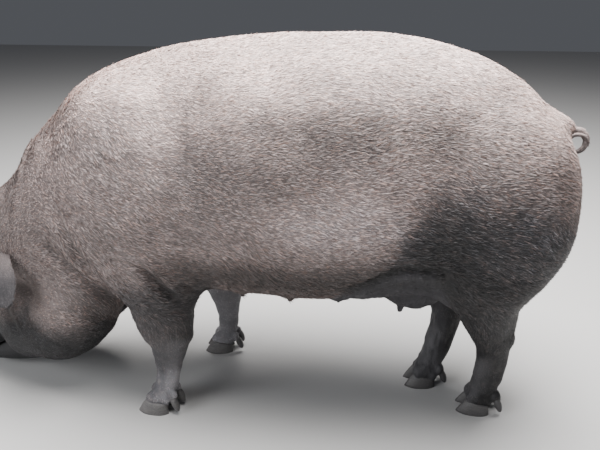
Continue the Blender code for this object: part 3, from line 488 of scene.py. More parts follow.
@dataclass
class Flesh:
    """The sow's body as one smooth field, without ears, eyes, claws and tail."""

    sow: Anatomy
    coat_depth: float = 0.003
    thin_depth: float = 0.0012
    # Reach of a lower leg and of the part above it: half length, half width and top
    shank: Point = (0.08, 0.062, 0.25)
    thigh: Point = (0.11, 0.085, 0.33)

    def __post_init__(self) -> None:
        """Works out the profiles of every table once."""
        self.trunk_lines = profiles(self.sow.trunk)
        self.neck_lines = profiles(self.sow.neck)
        self.skull_lines = profiles(self.sow.skull)
        self.jaw_lines = profiles(self.sow.jaw)
        self.fore_lines = profiles(self.sow.fore_leg)
        self.hind_lines = profiles(self.sow.hind_leg)
        self.mouth_line = profiles(self.sow.mouth)[0]
        self.lean_line = Profile((0.05, 0.2, 0.42), (0.0, 0.35, 1.0))

    def head_axes(self, p: Array) -> Array:
        """Turns places into s along the head, y across it and d toward the forehead."""
        x, y, z = (p - self.sow.head_origin).T
        c, s = math.cos(self.sow.head_pitch), math.sin(self.sow.head_pitch)
        return np.stack((-x * c - z * s, y, -x * s + z * c), 1)

    def skin_axes(self, p: Array) -> Array:
        """The head's axes, with all of the forelegs kept behind the head."""
        axes = self.head_axes(p)
        leg = (p[:, 0] > -0.45) & (p[:, 2] < 0.3)
        axes[:, 0] = np.where(leg, np.minimum(axes[:, 0], -0.3), axes[:, 0])
        return axes

    def head_point(self, s: float, y: float, d: float) -> Point:
        """A place of the head frame in the layout."""
        cosine, sine = math.cos(self.sow.head_pitch), math.sin(self.sow.head_pitch)
        x, _, z = self.sow.head_origin
        return (x - s * cosine - d * sine, y, z - s * sine + d * cosine)

    def trunk(self, p: Array) -> Array:
        """Field of the barrel from the base of the neck to the rump."""
        x, y, z = p.T
        top, mid, low, wide = (line(x) for line in self.trunk_lines)
        half = np.where(z > mid, top - mid, mid - low)
        section = oval(y, z - mid, wide, np.maximum(half, 0.01), self.sow.trunk_power)
        return np.maximum(section, np.maximum(self.sow.trunk[0][0] - x, x - self.sow.trunk[-1][0]))

    def loft(self, p: Array, lines: list[Profile], ends: Pair, blend: float) -> Array:
        """Field of an oval tube along the head's axis, through a table of stations."""
        s, y, d = self.head_axes(p).T
        mid, deep, wide = (line(s) for line in lines)
        past = np.maximum(ends[0] - s, s - ends[1])
        return smooth_max(oval(d - mid, y, deep, wide, 2.2), past, blend)

    def leg_middle(self, z: Array, foot: Foot) -> tuple[Array, Array]:
        """Where the middle of a leg lies at each height."""
        foot_x, foot_y, join_x, join_y = foot.value
        lean = self.lean_line(z)
        shift = (self.fore_lines if foot.fore else self.hind_lines)[0](z)
        return foot_x + shift + lean * (join_x - foot_x), foot_y + lean * (join_y - foot_y)

    def near_leg(self, p: Array, foot: Foot, reach: Point) -> Array:
        """Which places are within reach of a leg along x and y, and below a height."""
        mid_x, mid_y = self.leg_middle(p[:, 2], foot)
        near = (np.abs(p[:, 0] - mid_x) < reach[0]) & (np.abs(p[:, 1] - mid_y) < reach[1])
        return near & (p[:, 2] < reach[2])

    def leg(self, p: Array, foot: Foot) -> Array:
        """Field of a leg that leans from its foot to where it joins the body."""
        x, y, z = p.T
        mid_x, mid_y = self.leg_middle(z, foot)
        _, long, wide = (line(z) for line in (self.fore_lines if foot.fore else self.hind_lines))
        table = self.sow.fore_leg if foot.fore else self.sow.hind_leg
        past = np.maximum(table[0][0] - z, z - table[-1][0])
        return smooth_max(oval(x - mid_x, y - mid_y, long, wide, 2.1), past, 0.012)

    def depth(self, p: Array) -> Array:
        """How far the skin lies inside the solids, which is the depth of the coat."""
        s = self.head_axes(p)[:, 0]
        body = np.maximum(ease(0.2, 0.36, p[:, 2]), ease(-0.1, 0.0, s)) * (1 - ease(0.16, 0.26, s))
        return self.thin_depth + (self.coat_depth - self.thin_depth) * body

    def solid(self, points: Array) -> Array:
        """Field of the flesh as the solids have it.

        Args:
            points: Places, one a row.

        Returns:
            Negative values inside, positive outside.
        """
        body = Form(points, self.trunk(points))
        sow = self.sow
        for side in SIDES:
            for mass in (sow.shoulder, sow.haunch, sow.buttock):
                x, y, z = mass.at
                body.ball((x, side * y, z), mass.radii, mass.blend, mass.pitch)
        body.ball(sow.brisket.at, sow.brisket.radii, sow.brisket.blend)
        self.add_head(body)
        for foot in Foot:
            x, y, _, join_y = foot.value
            low = (x - 0.22, min(y, join_y) - 0.12, 0.0)
            high = (x + 0.24, max(y, join_y) + 0.12, 0.52)
            body.add(lambda q: self.leg(q, foot), low, high, 0.045 if foot.fore else 0.06)
            self.add_toes(body, foot)
        self.add_udder(body)
        x, y, z = sow.tail_root
        body.ball((x - 0.035, 0.0, z + 0.01), (0.06, 0.035, 0.035), 0.04)
        body.ball((x + 0.022, 0.0, z - 0.115), (0.028, 0.026, 0.042), 0.02)
        return body.f

    def add_head(self, body: Form) -> None:
        """Neck, jowls, skull, jaw, brows, cheeks, lids, lips and the rooting disc.

        Args:
            body: The form they are added to.
        """
        sow = self.sow
        low, high = (-1.0, -0.25, 0.0), (-0.25, 0.25, 0.95)
        ends = [(table[0][0], table[-1][0]) for table in (sow.neck, sow.skull, sow.jaw)]
        body.add(lambda q: self.loft(q, self.neck_lines, ends[0], 0.03), low, high, 0.06)
        self.add_head_masses(body, (sow.jowl,))
        low = (-1.0, -0.2, 0.0)
        body.add(lambda q: self.loft(q, self.skull_lines, ends[1], 0.008), low, high, 0.035)
        body.add(lambda q: self.loft(q, self.jaw_lines, ends[2], 0.012), low, high, 0.024)
        self.add_head_masses(body, (sow.brow, sow.jaw_muscle, sow.cheek, sow.eyeball_bed, sow.ear_base,
                                    sow.upper_lip))
        at = self.head_point(sow.disc_s, 0, sow.disc_d)
        body.add(self.disc, at, at, 0.006, 0.08)

    def add_head_masses(self, body: Form, masses: tuple[Mass, ...]) -> None:
        """Masses on both sides of the head, turned with it."""
        for side in SIDES:
            for mass in masses:
                s, y, d = mass.at
                body.ball(self.head_point(s, side * y, d), mass.radii, mass.blend, self.sow.head_pitch)

    def disc(self, p: Array) -> Array:
        """Field of the flat rooting disc at the end of the snout."""
        s, y, d = self.head_axes(p).T
        rim = oval(d - self.sow.disc_d, y, self.sow.disc_half[0], self.sow.disc_half[1], 2.3)
        front = s - self.sow.disc_s - 0.012 + 0.1 * y * y
        return smooth_max(rim, np.maximum(front, self.sow.disc_s - 0.012 - s), 0.01)

    def add_toes(self, body: Form, foot: Foot) -> None:
        """Toes, heel bulbs and the bosses of the dewclaws on each foot.

        Args:
            body: The form they are added to.
            foot: Which foot.
        """
        x, y = foot.value[:2]
        for side in SIDES:
            at = (x + 0.001, y + side * self.sow.claw_spacing, 0.043)
            body.ball(at, (0.027, 0.0165, 0.024), 0.01, 0.6)
            body.ball((x + 0.024, y + side * 0.016, 0.036), (0.018, 0.015, 0.024), 0.01)
            at = (x + 0.047, y + side * (self.sow.claw_spacing - 0.001), 0.052)
            body.ball(at, (0.013, 0.0105, 0.017), 0.01, -0.35)

    def add_udder(self, body: Form) -> None:
        """The two rear glands between the thighs and the rows of teats along the belly.

        Args:
            body: The form they are added to.
        """
        x, y, z, long, wide, deep = self.sow.udder
        sow = self.sow
        for side in SIDES:
            body.ball((x, side * y, z), (long, wide, deep), 0.02, -0.15)
            at = (x - 0.02, side * (y + 0.012), z - deep + 0.004)
            body.ball(at, (0.01, 0.01, 0.022), 0.008)
            for k in range(sow.teat_count):
                at_x = sow.teat_first_x + k * sow.teat_step
                low = self.belly_height(at_x, sow.teat_y)
                body.ball((at_x, side * sow.teat_y, low + 0.01), (0.03, 0.026, 0.018), 0.02)
                radii = (sow.teat_radius, sow.teat_radius, sow.teat_length)
                body.ball((at_x, side * sow.teat_y, low - 0.004), radii, 0.008)

    def belly_height(self, x: float, y: float) -> float:
        """Height of the trunk's underside at one place."""
        _, mid, low, wide = (line(x) for line in self.trunk_lines)
        power = self.sow.trunk_power
        return mid - (mid - low) * (1 - (abs(y) / wide) ** power) ** (1 / power)

    def skin(self, points: Array) -> Array:
        """Field of the skin, inside the solids by the coat's depth."""
        return self.solid(points) + self.depth(points)

    def face(self, points: Array) -> Array:
        """Field of the skin of the face, with lids, sockets, mouth and nostrils.

        Args:
            points: Places, one a row.

        Returns:
            Negative values inside, positive outside.
        """
        face = Form(points, self.skin(points))
        eye_s, eye_y, eye_d = self.sow.eye
        pitch = self.sow.head_pitch
        for side in SIDES:
            for up, radius in ((1, 0.0062), (-1, 0.005)):
                for k in range(-2, 3):
                    bend = 1 - (k / 2.6) ** 2
                    at = self.head_point(
                        eye_s + 0.0066 * k, side * (eye_y + 0.006 * bend + 0.0028),
                        eye_d + up * (0.005 + 0.0052 * bend))
                    face.ball(at, (0.007, radius, 0.0042), 0.005, pitch)
            at = self.head_point(eye_s, side * (eye_y + 0.01), eye_d)
            radii = (self.sow.eye_opening[0] + 0.002, 0.016, self.sow.eye_opening[1])
            face.carve(lambda q: ellipsoid(q, at, radii, pitch), at, 0.03, 0.002)
            at = self.head_point(self.sow.disc_s + 0.01, side * self.sow.nostril[0],
                                 self.sow.disc_d + 0.003)
            radii = (0.024, *self.sow.nostril[1:])
            face.carve(lambda q: ellipsoid(q, at, radii, pitch), at, 0.04, 0.003)
        at = self.head_point(0.39, 0, -0.03)
        near = face.near(np.asarray(at) - 0.13, np.asarray(at) + 0.13)
        face.f[near] = self.part_lips(face.p[near], face.f[near])
        return face.f

    def part_lips(self, p: Array, f: Array) -> Array:
        """Cuts the line of the mouth into a field as a wedge that closes inward."""
        s, _, d = self.head_axes(p).T
        start, end = self.sow.mouth_ends
        along = ease(start - 0.006, start + 0.02, s) * (1 - ease(end + 0.002, end + 0.01, s))
        depth = 0.013 * along
        half = 0.0038 * along * np.clip(1 + f / np.maximum(depth, 1e-4), 0, 1.6) - 0.0006
        return smooth_max(f, half - np.abs(d - self.mouth_line(s)), 0.0016)


@dataclass
class SurfaceNet:
    """Meshes the zero level of a field inside a box with evenly sized quads."""

    low: Point
    high: Point
    cell: float
    block: int = 4
    batch: int = 250000

    def axes(self) -> list[Array]:
        """Grid places along each axis, a whole number of blocks long."""
        made = []
        for low, high in zip(self.low, self.high):
            count = math.ceil((high - low) / (self.cell * self.block)) * self.block + 1
            made.append(low + self.cell * np.arange(count))
        return made

    def values(self, field_of: Field, axes: list[Array]) -> Array:
        """Field values on the grid, worked out finely only near the surface.

        Args:
            field_of: The field.
            axes: Grid places along each axis.

        Returns:
            One value for each grid place.
        """
        b = self.block
        rough_axes = [axis[::b] for axis in axes]
        rough_grid = np.stack(np.meshgrid(*rough_axes, indexing="ij"), -1)
        rough = field_of(rough_grid.reshape(-1, 3)).reshape(rough_grid.shape[:3])
        least = np.abs(rough)
        for axis in range(3):
            size = least.shape[axis]
            least = np.minimum(np.take(least, range(size - 1), axis),
                               np.take(least, range(1, size), axis))
        busy = np.argwhere(least < self.cell * b * 1.5)
        shape = tuple(len(axis) for axis in axes)
        values = rough.repeat(b, 0).repeat(b, 1).repeat(b, 2)[:shape[0], :shape[1], :shape[2]].copy()
        local = np.indices((b + 1,) * 3).reshape(3, -1).T
        wanted = np.zeros(shape, bool)
        wanted[tuple((busy[:, None, :] * b + local).reshape(-1, 3).T)] = True
        index = np.argwhere(wanted)
        points = np.stack([axes[i][index[:, i]] for i in range(3)], 1)
        for start in range(0, len(points), self.batch):
            part = slice(start, start + self.batch)
            values[tuple(index[part].T)] = field_of(points[part])
        return values

    def build(self, field_of: Field) -> tuple[Array, Array]:
        """Finds the surface.

        Args:
            field_of: The field.

        Returns:
            Points on the surface and quads that join them.
        """
        axes = self.axes()
        values = self.values(field_of, axes)
        shape = np.array(values.shape)
        cells, places, quads, flips = [], [], [], []
        stride = np.array(((shape[1] - 1) * (shape[2] - 1), shape[2] - 1, 1))
        for axis in range(3):
            b, c = (axis + 1) % 3, (axis + 2) % 3
            first = np.take(values, range(shape[axis] - 1), axis)
            second = np.take(values, range(1, shape[axis]), axis)
            index = np.argwhere((first < 0) != (second < 0))
            inner = (index[:, b] > 0) & (index[:, b] < shape[b] - 1)
            index = index[inner & (index[:, c] > 0) & (index[:, c] < shape[c] - 1)]
            one, two = first[tuple(index.T)], second[tuple(index.T)]
            place = index.astype(float)
            place[:, axis] += one / (one - two)
            corner = []
            for db, dc in ((1, 1), (0, 1), (0, 0), (1, 0)):
                cell = index.copy()
                cell[:, b] -= db
                cell[:, c] -= dc
                corner.append(cell @ stride)
                places.append(place)
            cells.append(np.concatenate(corner))
            quads.append(np.stack(corner, 1))
            flips.append(one > 0)
        unique, slot = np.unique(np.concatenate(cells), return_inverse=True)
        place = np.concatenate(places)
        count = np.bincount(slot)
        points = np.stack([np.bincount(slot, place[:, i]) / count for i in range(3)], 1)
        points = np.array([axis[0] for axis in axes]) + points * self.cell
        faces = np.searchsorted(unique, np.concatenate(quads))
        flip = np.concatenate(flips)
        faces[flip] = faces[flip][:, ::-1]
        return self.settle(field_of, points), faces

    def settle(self, field_of: Field, points: Array) -> Array:
        """Moves points along the field's slope onto its zero level.

        Args:
            field_of: The field.
            points: Points near the surface.

        Returns:
            The moved points.
        """
        step = 0.0006
        value = field_of(points)
        slope = np.zeros_like(points)
        for axis in range(3):
            move = np.zeros(3)
            move[axis] = step
            slope[:, axis] = (field_of(points + move) - value) / step
        size = np.maximum((slope**2).sum(1), 0.05)
        shift = -slope * (value / size)[:, None]
        length = np.linalg.norm(shift, axis=1)
        shift *= np.minimum(1, self.cell * 0.4 / np.maximum(length, 1e-9))[:, None]
        return points + shift


@dataclass
class Mesh:
    """Points, faces and what rides on them, gathered before they become an object."""

    name: str
    points: Array
    faces: Array
    masks: Array | None = None
    numbers: dict[str, Array] = field(default_factory=dict)
    bake: Array | None = None

    def triangles(self) -> Array:
        """Faces as triangles."""
        if self.faces.shape[1] == 3:
            return self.faces
        return np.concatenate((self.faces[:, [0, 1, 2]], self.faces[:, [0, 2, 3]]))

    def create(self, sow: Anatomy, smooth: bool = True) -> Object:
        """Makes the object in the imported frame.

        Args:
            sow: The sizes that say where the frame lies.
            smooth: Whether its faces are shaded smooth.

        Returns:
            The new object.
        """
        mesh = bpy.data.meshes.new(self.name)
        mesh.vertices.add(len(self.points))
        mesh.vertices.foreach_set("co", sow.place(self.points).astype(np.float32).ravel())
        mesh.loops.add(self.faces.size)
        mesh.loops.foreach_set("vertex_index", self.faces.astype(np.int32).ravel())
        mesh.polygons.add(len(self.faces))
        starts = np.arange(len(self.faces), dtype=np.int32) * self.faces.shape[1]
        mesh.polygons.foreach_set("loop_start", starts)
        mesh.update(calc_edges=True)
        mesh.polygons.foreach_set("use_smooth", np.full(len(self.faces), smooth))
        if self.masks is not None:
            layer = mesh.attributes.new("masks", "FLOAT_COLOR", "POINT")
            layer.data.foreach_set("color", self.masks.astype(np.float32).ravel())
        for name, values in self.numbers.items():
            layer = mesh.attributes.new(name, "FLOAT", "POINT")
            layer.data.foreach_set("value", values.astype(np.float32))
        if self.bake is not None:
            layer = mesh.uv_layers.new(name=BAKE_MAP)
            layer.data.foreach_set("uv", self.bake[self.faces.ravel()].astype(np.float32).ravel())
        item = bpy.data.objects.new(self.name, mesh)
        bpy.context.scene.collection.objects.link(item)
        return item


def vertex_normals(points: Array, triangles: Array) -> Array:
    """Area-weighted normals of a triangle mesh at its points.

    Args:
        points: Places of the vertices.
        triangles: Three vertex numbers a row.

    Returns:
        One unit normal for each vertex.
    """
    a, b, c = (points[triangles[:, i]] for i in range(3))
    normal = np.cross(b - a, c - a)
    total = np.zeros_like(points)
    for corner in range(3):
        for axis in range(3):
            total[:, axis] += np.bincount(triangles[:, corner], normal[:, axis], len(points))
    return unit(total)


@dataclass(frozen=True)
class Crease:
    """A fold of the hide along a line on the surface."""

    line: tuple[Point, ...]
    width: float
    depth: float
    # How much distances along each axis count, so that a line need not lie on the skin
    flat: Point = (1.0, 0.35, 1.0)
    steps: int = 24

    def press(self, points: Array) -> Array:
        """How far the fold and its mirror image push each place inward, with raised lips.

        Args:
            points: Places, one a row.

        Returns:
            Distances along the normal, negative inward.
        """
        total = np.zeros(len(points))
        for flip in (1.0, -1.0):
            path = smooth_path(np.array(self.line) * (1.0, flip, 1.0) * self.flat, self.steps)
            p = points * self.flat
            near = np.all((p > path.min(0) - 4 * self.width) & (p < path.max(0) + 4 * self.width), 1)
            if not near.any():
                continue
            p = p[near]
            best = np.full(len(p), 1e9)
            share = np.zeros(len(p))
            for k in range(len(path) - 1):
                step = path[k + 1] - path[k]
                t = np.clip(((p - path[k]) @ step) / (step @ step), 0, 1)
                away = np.linalg.norm(p - path[k] - t[:, None] * step, axis=1)
                closer = away < best
                best[closer] = away[closer]
                share[closer] = (k + t[closer]) / (len(path) - 1)
            fade = ease(0.0, 0.25, share) * (1 - ease(0.75, 1.0, share))
            r = best / self.width
            total[near] += self.depth * fade * (0.35 * bell(r, 1.9, 1.0) - bell(r, 0.0, 1.0))
        return total


@dataclass(frozen=True)
class Stain:
    """A soft lighter or darker patch of the hide, seen from the side, used for painted light and shade and
    for the crust of dried mud.
    """

    x: float
    z: float
    half_x: float
    half_z: float
    factor: float

    def share(self, points: Array) -> Array:
        """How strongly the patch shows at each place."""
        r = np.hypot((points[:, 0] - self.x) / self.half_x, (points[:, 2] - self.z) / self.half_z)
        return ease(1.35, 0.25, r)


@dataclass
class Hide:
    """How the skin is folded and marked, painted light and shade among the marks, the same for the skin and
    the coat on it.
    """

    flesh: Flesh
    mottle: Mottle = field(default_factory=lambda: Mottle(11))
    # Folds: behind the elbow, before the shoulder, between jowl and neck, flank to thigh, on the cheek
    creases: tuple[Crease, ...] = (
        Crease(((-0.335, -0.225, 0.47), (-0.285, -0.23, 0.4), (-0.245, -0.215, 0.335)), 0.012, 0.009),
        Crease(((-0.52, -0.175, 0.56), (-0.47, -0.19, 0.43), (-0.43, -0.175, 0.33)), 0.014, 0.008),
        Crease(((-0.625, -0.16, 0.495), (-0.51, -0.175, 0.385), (-0.405, -0.165, 0.27)), 0.019, 0.01),
        Crease(((0.05, -0.215, 0.375), (0.16, -0.235, 0.425), (0.255, -0.24, 0.475),
                (0.32, -0.235, 0.47), (0.35, -0.215, 0.38)), 0.013, 0.01),
        Crease(((-0.79, -0.08, 0.33), (-0.755, -0.11, 0.24), (-0.7, -0.12, 0.17)), 0.012, 0.003),
    )
    # How high the mud reaches along the body, and how far above and below that line it fades
    mud_top: Table = (
        (0.05, 0.24), (0.115, 0.40), (0.16, 0.47), (0.205, 0.545), (0.25, 0.612), (0.31, 0.655),
        (0.38, 0.670), (0.47, 0.675), (0.575, 0.640), (0.620, 0.580), (0.70, 0.50))
    mud_fade: Pair = (-0.06, 0.11)
    # Painted light and shade: paler patches where light falls on neck and flank, and painted shade on the
    # flank band, jowl, face below the ear and belly; a few darken the mud and lighten the dried crust
    stains: tuple[Stain, ...] = (
        Stain(0.18, 0.755, 0.24, 0.06, 0.62),
        Stain(-0.07, 0.705, 0.17, 0.09, 0.76),
        Stain(0.37, 0.755, 0.12, 0.06, 0.84),
        Stain(0.57, 0.63, 0.07, 0.08, 0.85),
        Stain(0.51, 0.59, 0.06, 0.07, 1.45),
        Stain(0.19, 0.645, 0.1, 0.05, 1.4),
        Stain(-0.36, 0.69, 0.15, 0.12, 1.3),
        Stain(-0.52, 0.6, 0.12, 0.11, 1.45),
        Stain(-0.19, 0.56, 0.1, 0.07, 0.88),
        Stain(0.11, 0.57, 0.16, 0.07, 1.75),
        Stain(-0.58, 0.165, 0.15, 0.07, 0.42),
        Stain(-0.29, 0.21, 0.09, 0.07, 0.8),
        Stain(-0.47, 0.25, 0.08, 0.11, 0.36),
        Stain(-0.79, 0.12, 0.12, 0.09, 0.62),
        Stain(-0.72, 0.235, 0.09, 0.08, 0.5),
        Stain(-0.3, 0.33, 0.1, 0.08, 0.74),
        Stain(0.32, 0.51, 0.08, 0.12, 0.45),
        Stain(0.01, 0.438, 0.3, 0.055, 0.52),
    )
    # How high the bare udder shows between the flank and the thigh
    udder_top: Table = (
        (0.02, 0.30), (0.10, 0.375), (0.17, 0.425), (0.25, 0.468), (0.31, 0.462), (0.35, 0.36), (0.40, 0.28))
    # Where mud has dried to a pale crust low on the flank
    crust: Stain = Stain(0.12, 0.57, 0.15, 0.062, 1.0)
    # Shares of mud on forearm, cannon and muzzle, and of dust on far hind cannon, far lower foreleg (there
    # with painted light) and crust
    forearm_mud: float = 0.86
    cannon_mud: float = 0.62
    muzzle_mud: float = 0.55
    cannon_dust: float = 0.585
    sock_dust: float = 0.65
    crust_dust: float = 0.42
    # How much painted shade darkens folds, the mouth line and the belly's underside (there partly grime),
    # and how much painted light lightens the far lower foreleg and dust the near forefoot
    fold_shade: float = 0.58
    lip_shade: float = 0.55
    grime_shade: float = 0.58
    sock_light: float = 1.5
    powder_light: float = 1.3
    shade_limits: Pair = (0.22, 2.6)
    # Relief: sagging flesh, wrinkles of neck and udder, grain of shanks, rings on snout and lids
    sag: float = 0.0022
    neck_wrinkle: float = 0.002
    udder_wrinkle: float = 0.003
    shank_grain: float = 0.0008
    ring_height: float = 0.0007
    snout_ring: float = 0.015
    lid_ring: float = 0.0085
    # Knee, hock and the hollow before it: height, half height and relief
    knee: Point = (0.178, 0.02, 0.004)
    hock: Point = (0.236, 0.017, 0.006)
    hock_hollow: Point = (0.27, 0.028, 0.005)
    tendon_groove: float = 0.0026

    def __post_init__(self) -> None:
        """Works out the lines that the mud and the bare udder reach up to."""
        self.mud_line = profiles(self.mud_top)[0]
        self.udder_line = profiles(self.udder_top)[0]

    def fold(self, points: Array, normals: Array) -> Array:
        """Places moved along their normals by folds, sags and wrinkles.

        Args:
            points: Places on the plain skin.
            normals: Outward normals there.

        Returns:
            The moved places.
        """
        push = sum(crease.press(points) for crease in self.creases)
        s, _, d = self.flesh.skin_axes(points).T
        neck = ease(-0.55, -0.35, s) * (1 - ease(0.1, 0.24, s))
        stretched = points * (0.35, 1.0, 1.0)
        push += self.sag * self.mottle(points, 0.16, 2) * ease(0.24, 0.38, points[:, 2])
        push += self.neck_wrinkle * neck * self.mottle(stretched, 0.03, 2)
        slant = points @ ((1.0, 0.0, 0.45), (0.0, 0.5, 0.0), (-0.15, 0.0, 0.35))
        push += self.udder_wrinkle * self.udder_share(points) * self.mottle(slant, 0.013, 2)
        shank = ease(0.24, 0.18, points[:, 2]) * (s < 0.05)
        squat = points * (1.0, 1.0, 0.6)
        push += shank * self.shank_grain * self.mottle(squat, 0.014, 2)
        for foot in Foot:
            near = self.flesh.near_leg(points, foot, self.flesh.shank)
            near |= self.flesh.near_leg(points, foot, self.flesh.thigh)
            push = np.where(near, push + self.limb(points, foot), push)
        bridge = ease(0.33, 0.37, s) * (1 - ease(0.455, 0.47, s)) * ease(0.02, 0.06, d)
        turn = s * 2 * math.pi / self.snout_ring + 3.0 * self.mottle(points, 0.035)
        strength = self.ring_height * bridge * (0.75 + 0.5 * self.mottle(points, 0.02))
        push = push + strength * np.sin(turn) + self.brow(points)
        return points + normals * push[:, None]

    def udder_share(self, points: Array) -> Array:
        """How much each place belongs to the bare udder and the belly round it."""
        x, _, z = points.T
        return ease(0.012, -0.012, z - self.udder_line(x)) * ease(0.03, 0.1, x) * ease(0.4, 0.36, x)

    def limb(self, points: Array, foot: Foot) -> Array:
        """Relief of a lower leg: knee or hock, tendons and fetlock.

        Args:
            points: Places near the leg.
            foot: Which leg.

        Returns:
            Distances along the normal, negative inward.
        """
        z = points[:, 2]
        mid_x, mid_y = self.flesh.leg_middle(z, foot)
        turn = np.arctan2(points[:, 1] - mid_y, points[:, 0] - mid_x)
        front, back = np.clip(-np.cos(turn), 0, 1), np.clip(np.cos(turn), 0, 1)
        groove = self.tendon_groove * bell(np.abs(turn), 0.95, 0.3) * ease(0.075, 0.1, z)
        if foot.fore:
            middle, spread, height = self.knee
            knee = height * bell(z, middle, spread) * front**2
            return knee - groove * ease(0.185, 0.15, z) + 0.0015 * back**3 * ease(0.2, 0.15, z)
        middle, spread, height = self.hock
        hock = height * bell(z, middle, spread) * back**4
        middle, spread, height = self.hock_hollow
        hollow = height * bell(np.abs(turn), 0.75, 0.3) * bell(z, middle, spread)
        return hock - hollow - groove * ease(0.215, 0.18, z)

    def brow(self, points: Array) -> Array:
        """Wrinkles round the eyes, along bows above and below the lids."""
        s, across, d = self.flesh.head_axes(points).T
        eye_s, _, eye_d = self.flesh.sow.eye
        r = np.hypot((s - eye_s) / 1.35, d - eye_d)
        rings = np.cos((r - 0.0155) * 2 * math.pi / self.lid_ring + 0.6 * self.mottle(points, 0.02))
        fade = ease(0.012, 0.017, r) * ease(0.043, 0.024, r) * (np.abs(across) > 0.04)
        return self.ring_height * fade * rings

    def mark(self, points: Array, normals: Array) -> tuple[Array, Array]:
        """The markings at many places.

        Args:
            points: Places in the layout.
            normals: Outward normals there.

        Returns:
            Masks of mud, painted light on the top, bare skin and dust (on the feet partly painted light),
            and a shade, partly painted light and shade, that all is multiplied by.
        """
        x, _, z = points.T
        s, across, d = self.flesh.skin_axes(points).T
        wide = self.mottle(points, 0.1, 3)
        fine = self.mottle(points, 0.03, 3)
        top = self.mud_line(x) + 0.03 * wide + 0.022 * fine
        blur = 0.55 + 0.45 * np.maximum(ease(0.28, 0.42, x), ease(0.53, 0.61, z))
        mud = ease(*self.mud_fade, (top - z) / blur)
        near = np.where(across < 0, 1.0, 0.12)
        streak = ease(0.05, 0.6, self.mottle(points, 0.0065)) * (s < 0.0)
        fore = ease(0.44, 0.36, z + 0.02 * fine) * ease(-0.44, -0.39, x) * ease(-0.16, -0.21, x)
        fore = fore * near * (s < 0.02)
        cannon = ease(0.245, 0.205, z + 0.015 * fine) * (x < 0.1) * (s < 0.02)
        muzzle = ease(0.24, 0.1, z + 0.03 * wide) * ease(0.1, 0.2, s)
        low = self.cannon_mud * cannon * near * (1 - 0.3 * fine)
        mud = np.maximum.reduce((mud, self.forearm_mud * fore, low, self.muzzle_mud * muzzle))
        mud *= 1 - 0.3 * streak
        hind_cannon = ease(0.13, 0.08, z + 0.02 * fine) * (x > 0.1)
        # Painted light: paler where the back faces up and along the rump's rear rim
        pale = ease(0.15, 0.95, normals[:, 2] + 0.15 * wide) * ease(0.55, 0.75, z)
        rim = ease(0.5, 0.85, normals[:, 0] + 0.1 * fine) * ease(0.5, 0.6, z)
        pale = np.maximum(pale, 0.45 * rim)
        udder = self.udder_share(points)
        eye_s, eye_y, eye_d = self.flesh.sow.eye
        lids = np.sqrt((s - eye_s) ** 2 + (np.abs(across) - eye_y) ** 2 + (d - eye_d) ** 2)
        bare = np.maximum(udder, ease(0.024, 0.014, lids))
        flakes = ease(-0.15, 0.45, self.mottle(points, 0.0075, 2))
        crust = self.crust_dust * self.crust.share(points) * flakes
        # Painted highlight along the rear-facing edge of the cannons, carried in the dust mask
        rear_edge_highlight = cannon * ease(-0.2, 0.5, normals[:, 0]) * (z > 0.03)
        # Painted light, partly dust, on the lower far foreleg, which lies in shade
        far_foreleg_light_and_dust = ease(0.33, 0.2, z + 0.03 * fine) * (x < 0.1) * (s < 0.02) * (across > 0)
        strip = 0.8 * ease(0.2, 0.16, z + 0.02 * fine) * ease(0.2, -0.6, normals[:, 0]) * (x > 0.1)
        # The dust of the feet also carries the painted highlight on the cannons and the painted light on the
        # far lower foreleg
        feet = 0.45 * rear_edge_highlight + 0.2 * cannon + self.sock_dust * far_foreleg_light_and_dust
        dust = np.maximum.reduce((strip, feet, crust, self.cannon_dust * (across > 0) * hind_cannon))
        press = sum(crease.press(points) / crease.depth for crease in self.creases)
        lips = bell(d, self.flesh.mouth_line(s), 0.006) * ease(0.31, 0.33, s)
        shade = 1 + 0.1 * wide + 0.1 * fine + self.fold_shade * np.clip(press, -1, 0)
        shade *= 1 - self.lip_shade * lips * (d < 0.02)
        # Painted shade, partly grime, on the underside of the belly
        belly_shade_and_grime = ease(0.505, 0.425, z + 0.015 * wide) * ease(-0.33, -0.2, x) * (s < 0.0)
        shade *= 1 - self.grime_shade * belly_shade_and_grime
        powder = ease(0.145, 0.1, z + 0.02 * fine) * (x < 0.1) * (s < 0.02) * (across < 0)
        # Painted light on the far lower foreleg and dust on the near forefoot lighten the shade
        shade *= 1 + self.sock_light * far_foreleg_light_and_dust + self.powder_light * powder
        # Painted light and shade from the soft patches, multiplied into the shade
        for shading_patch in self.stains:
            shade *= 1 + (shading_patch.factor - 1) * shading_patch.share(points)
        masks = np.clip(np.stack((mud, pale, bare, dust), 1), 0, 1)
        return masks, np.clip(shade, *self.shade_limits)


class Value:
    """A number that a node makes, with arithmetic that adds Math nodes."""

    def __init__(self, shader: Shader, socket: NodeSocket) -> None:
        """Keeps the socket and the shader that it belongs to."""
        self.shader = shader
        self.socket = socket

    def math(self, operation: str, other: Value | float) -> Value:
        """The result of one Math node."""
        node = self.shader.node("ShaderNodeMath", {"operation": operation}, {0: self, 1: other})
        return Value(self.shader, node.outputs[0])

    def __add__(self, other: Value | float) -> Value:
        """Sum."""
        return self.math("ADD", other)

    def __mul__(self, other: Value | float) -> Value:
        """Product."""
        return self.math("MULTIPLY", other)

    __radd__ = __add__
    __rmul__ = __mul__

    def between(self, low: float, high: float) -> Value:
        """Rises smoothly from 0 at low to 1 at high."""
        node = self.shader.node("ShaderNodeMapRange", {"interpolation_type": "SMOOTHSTEP"},
                                {"Value": self, "From Min": low, "From Max": high})
        return Value(self.shader, node.outputs["Result"])


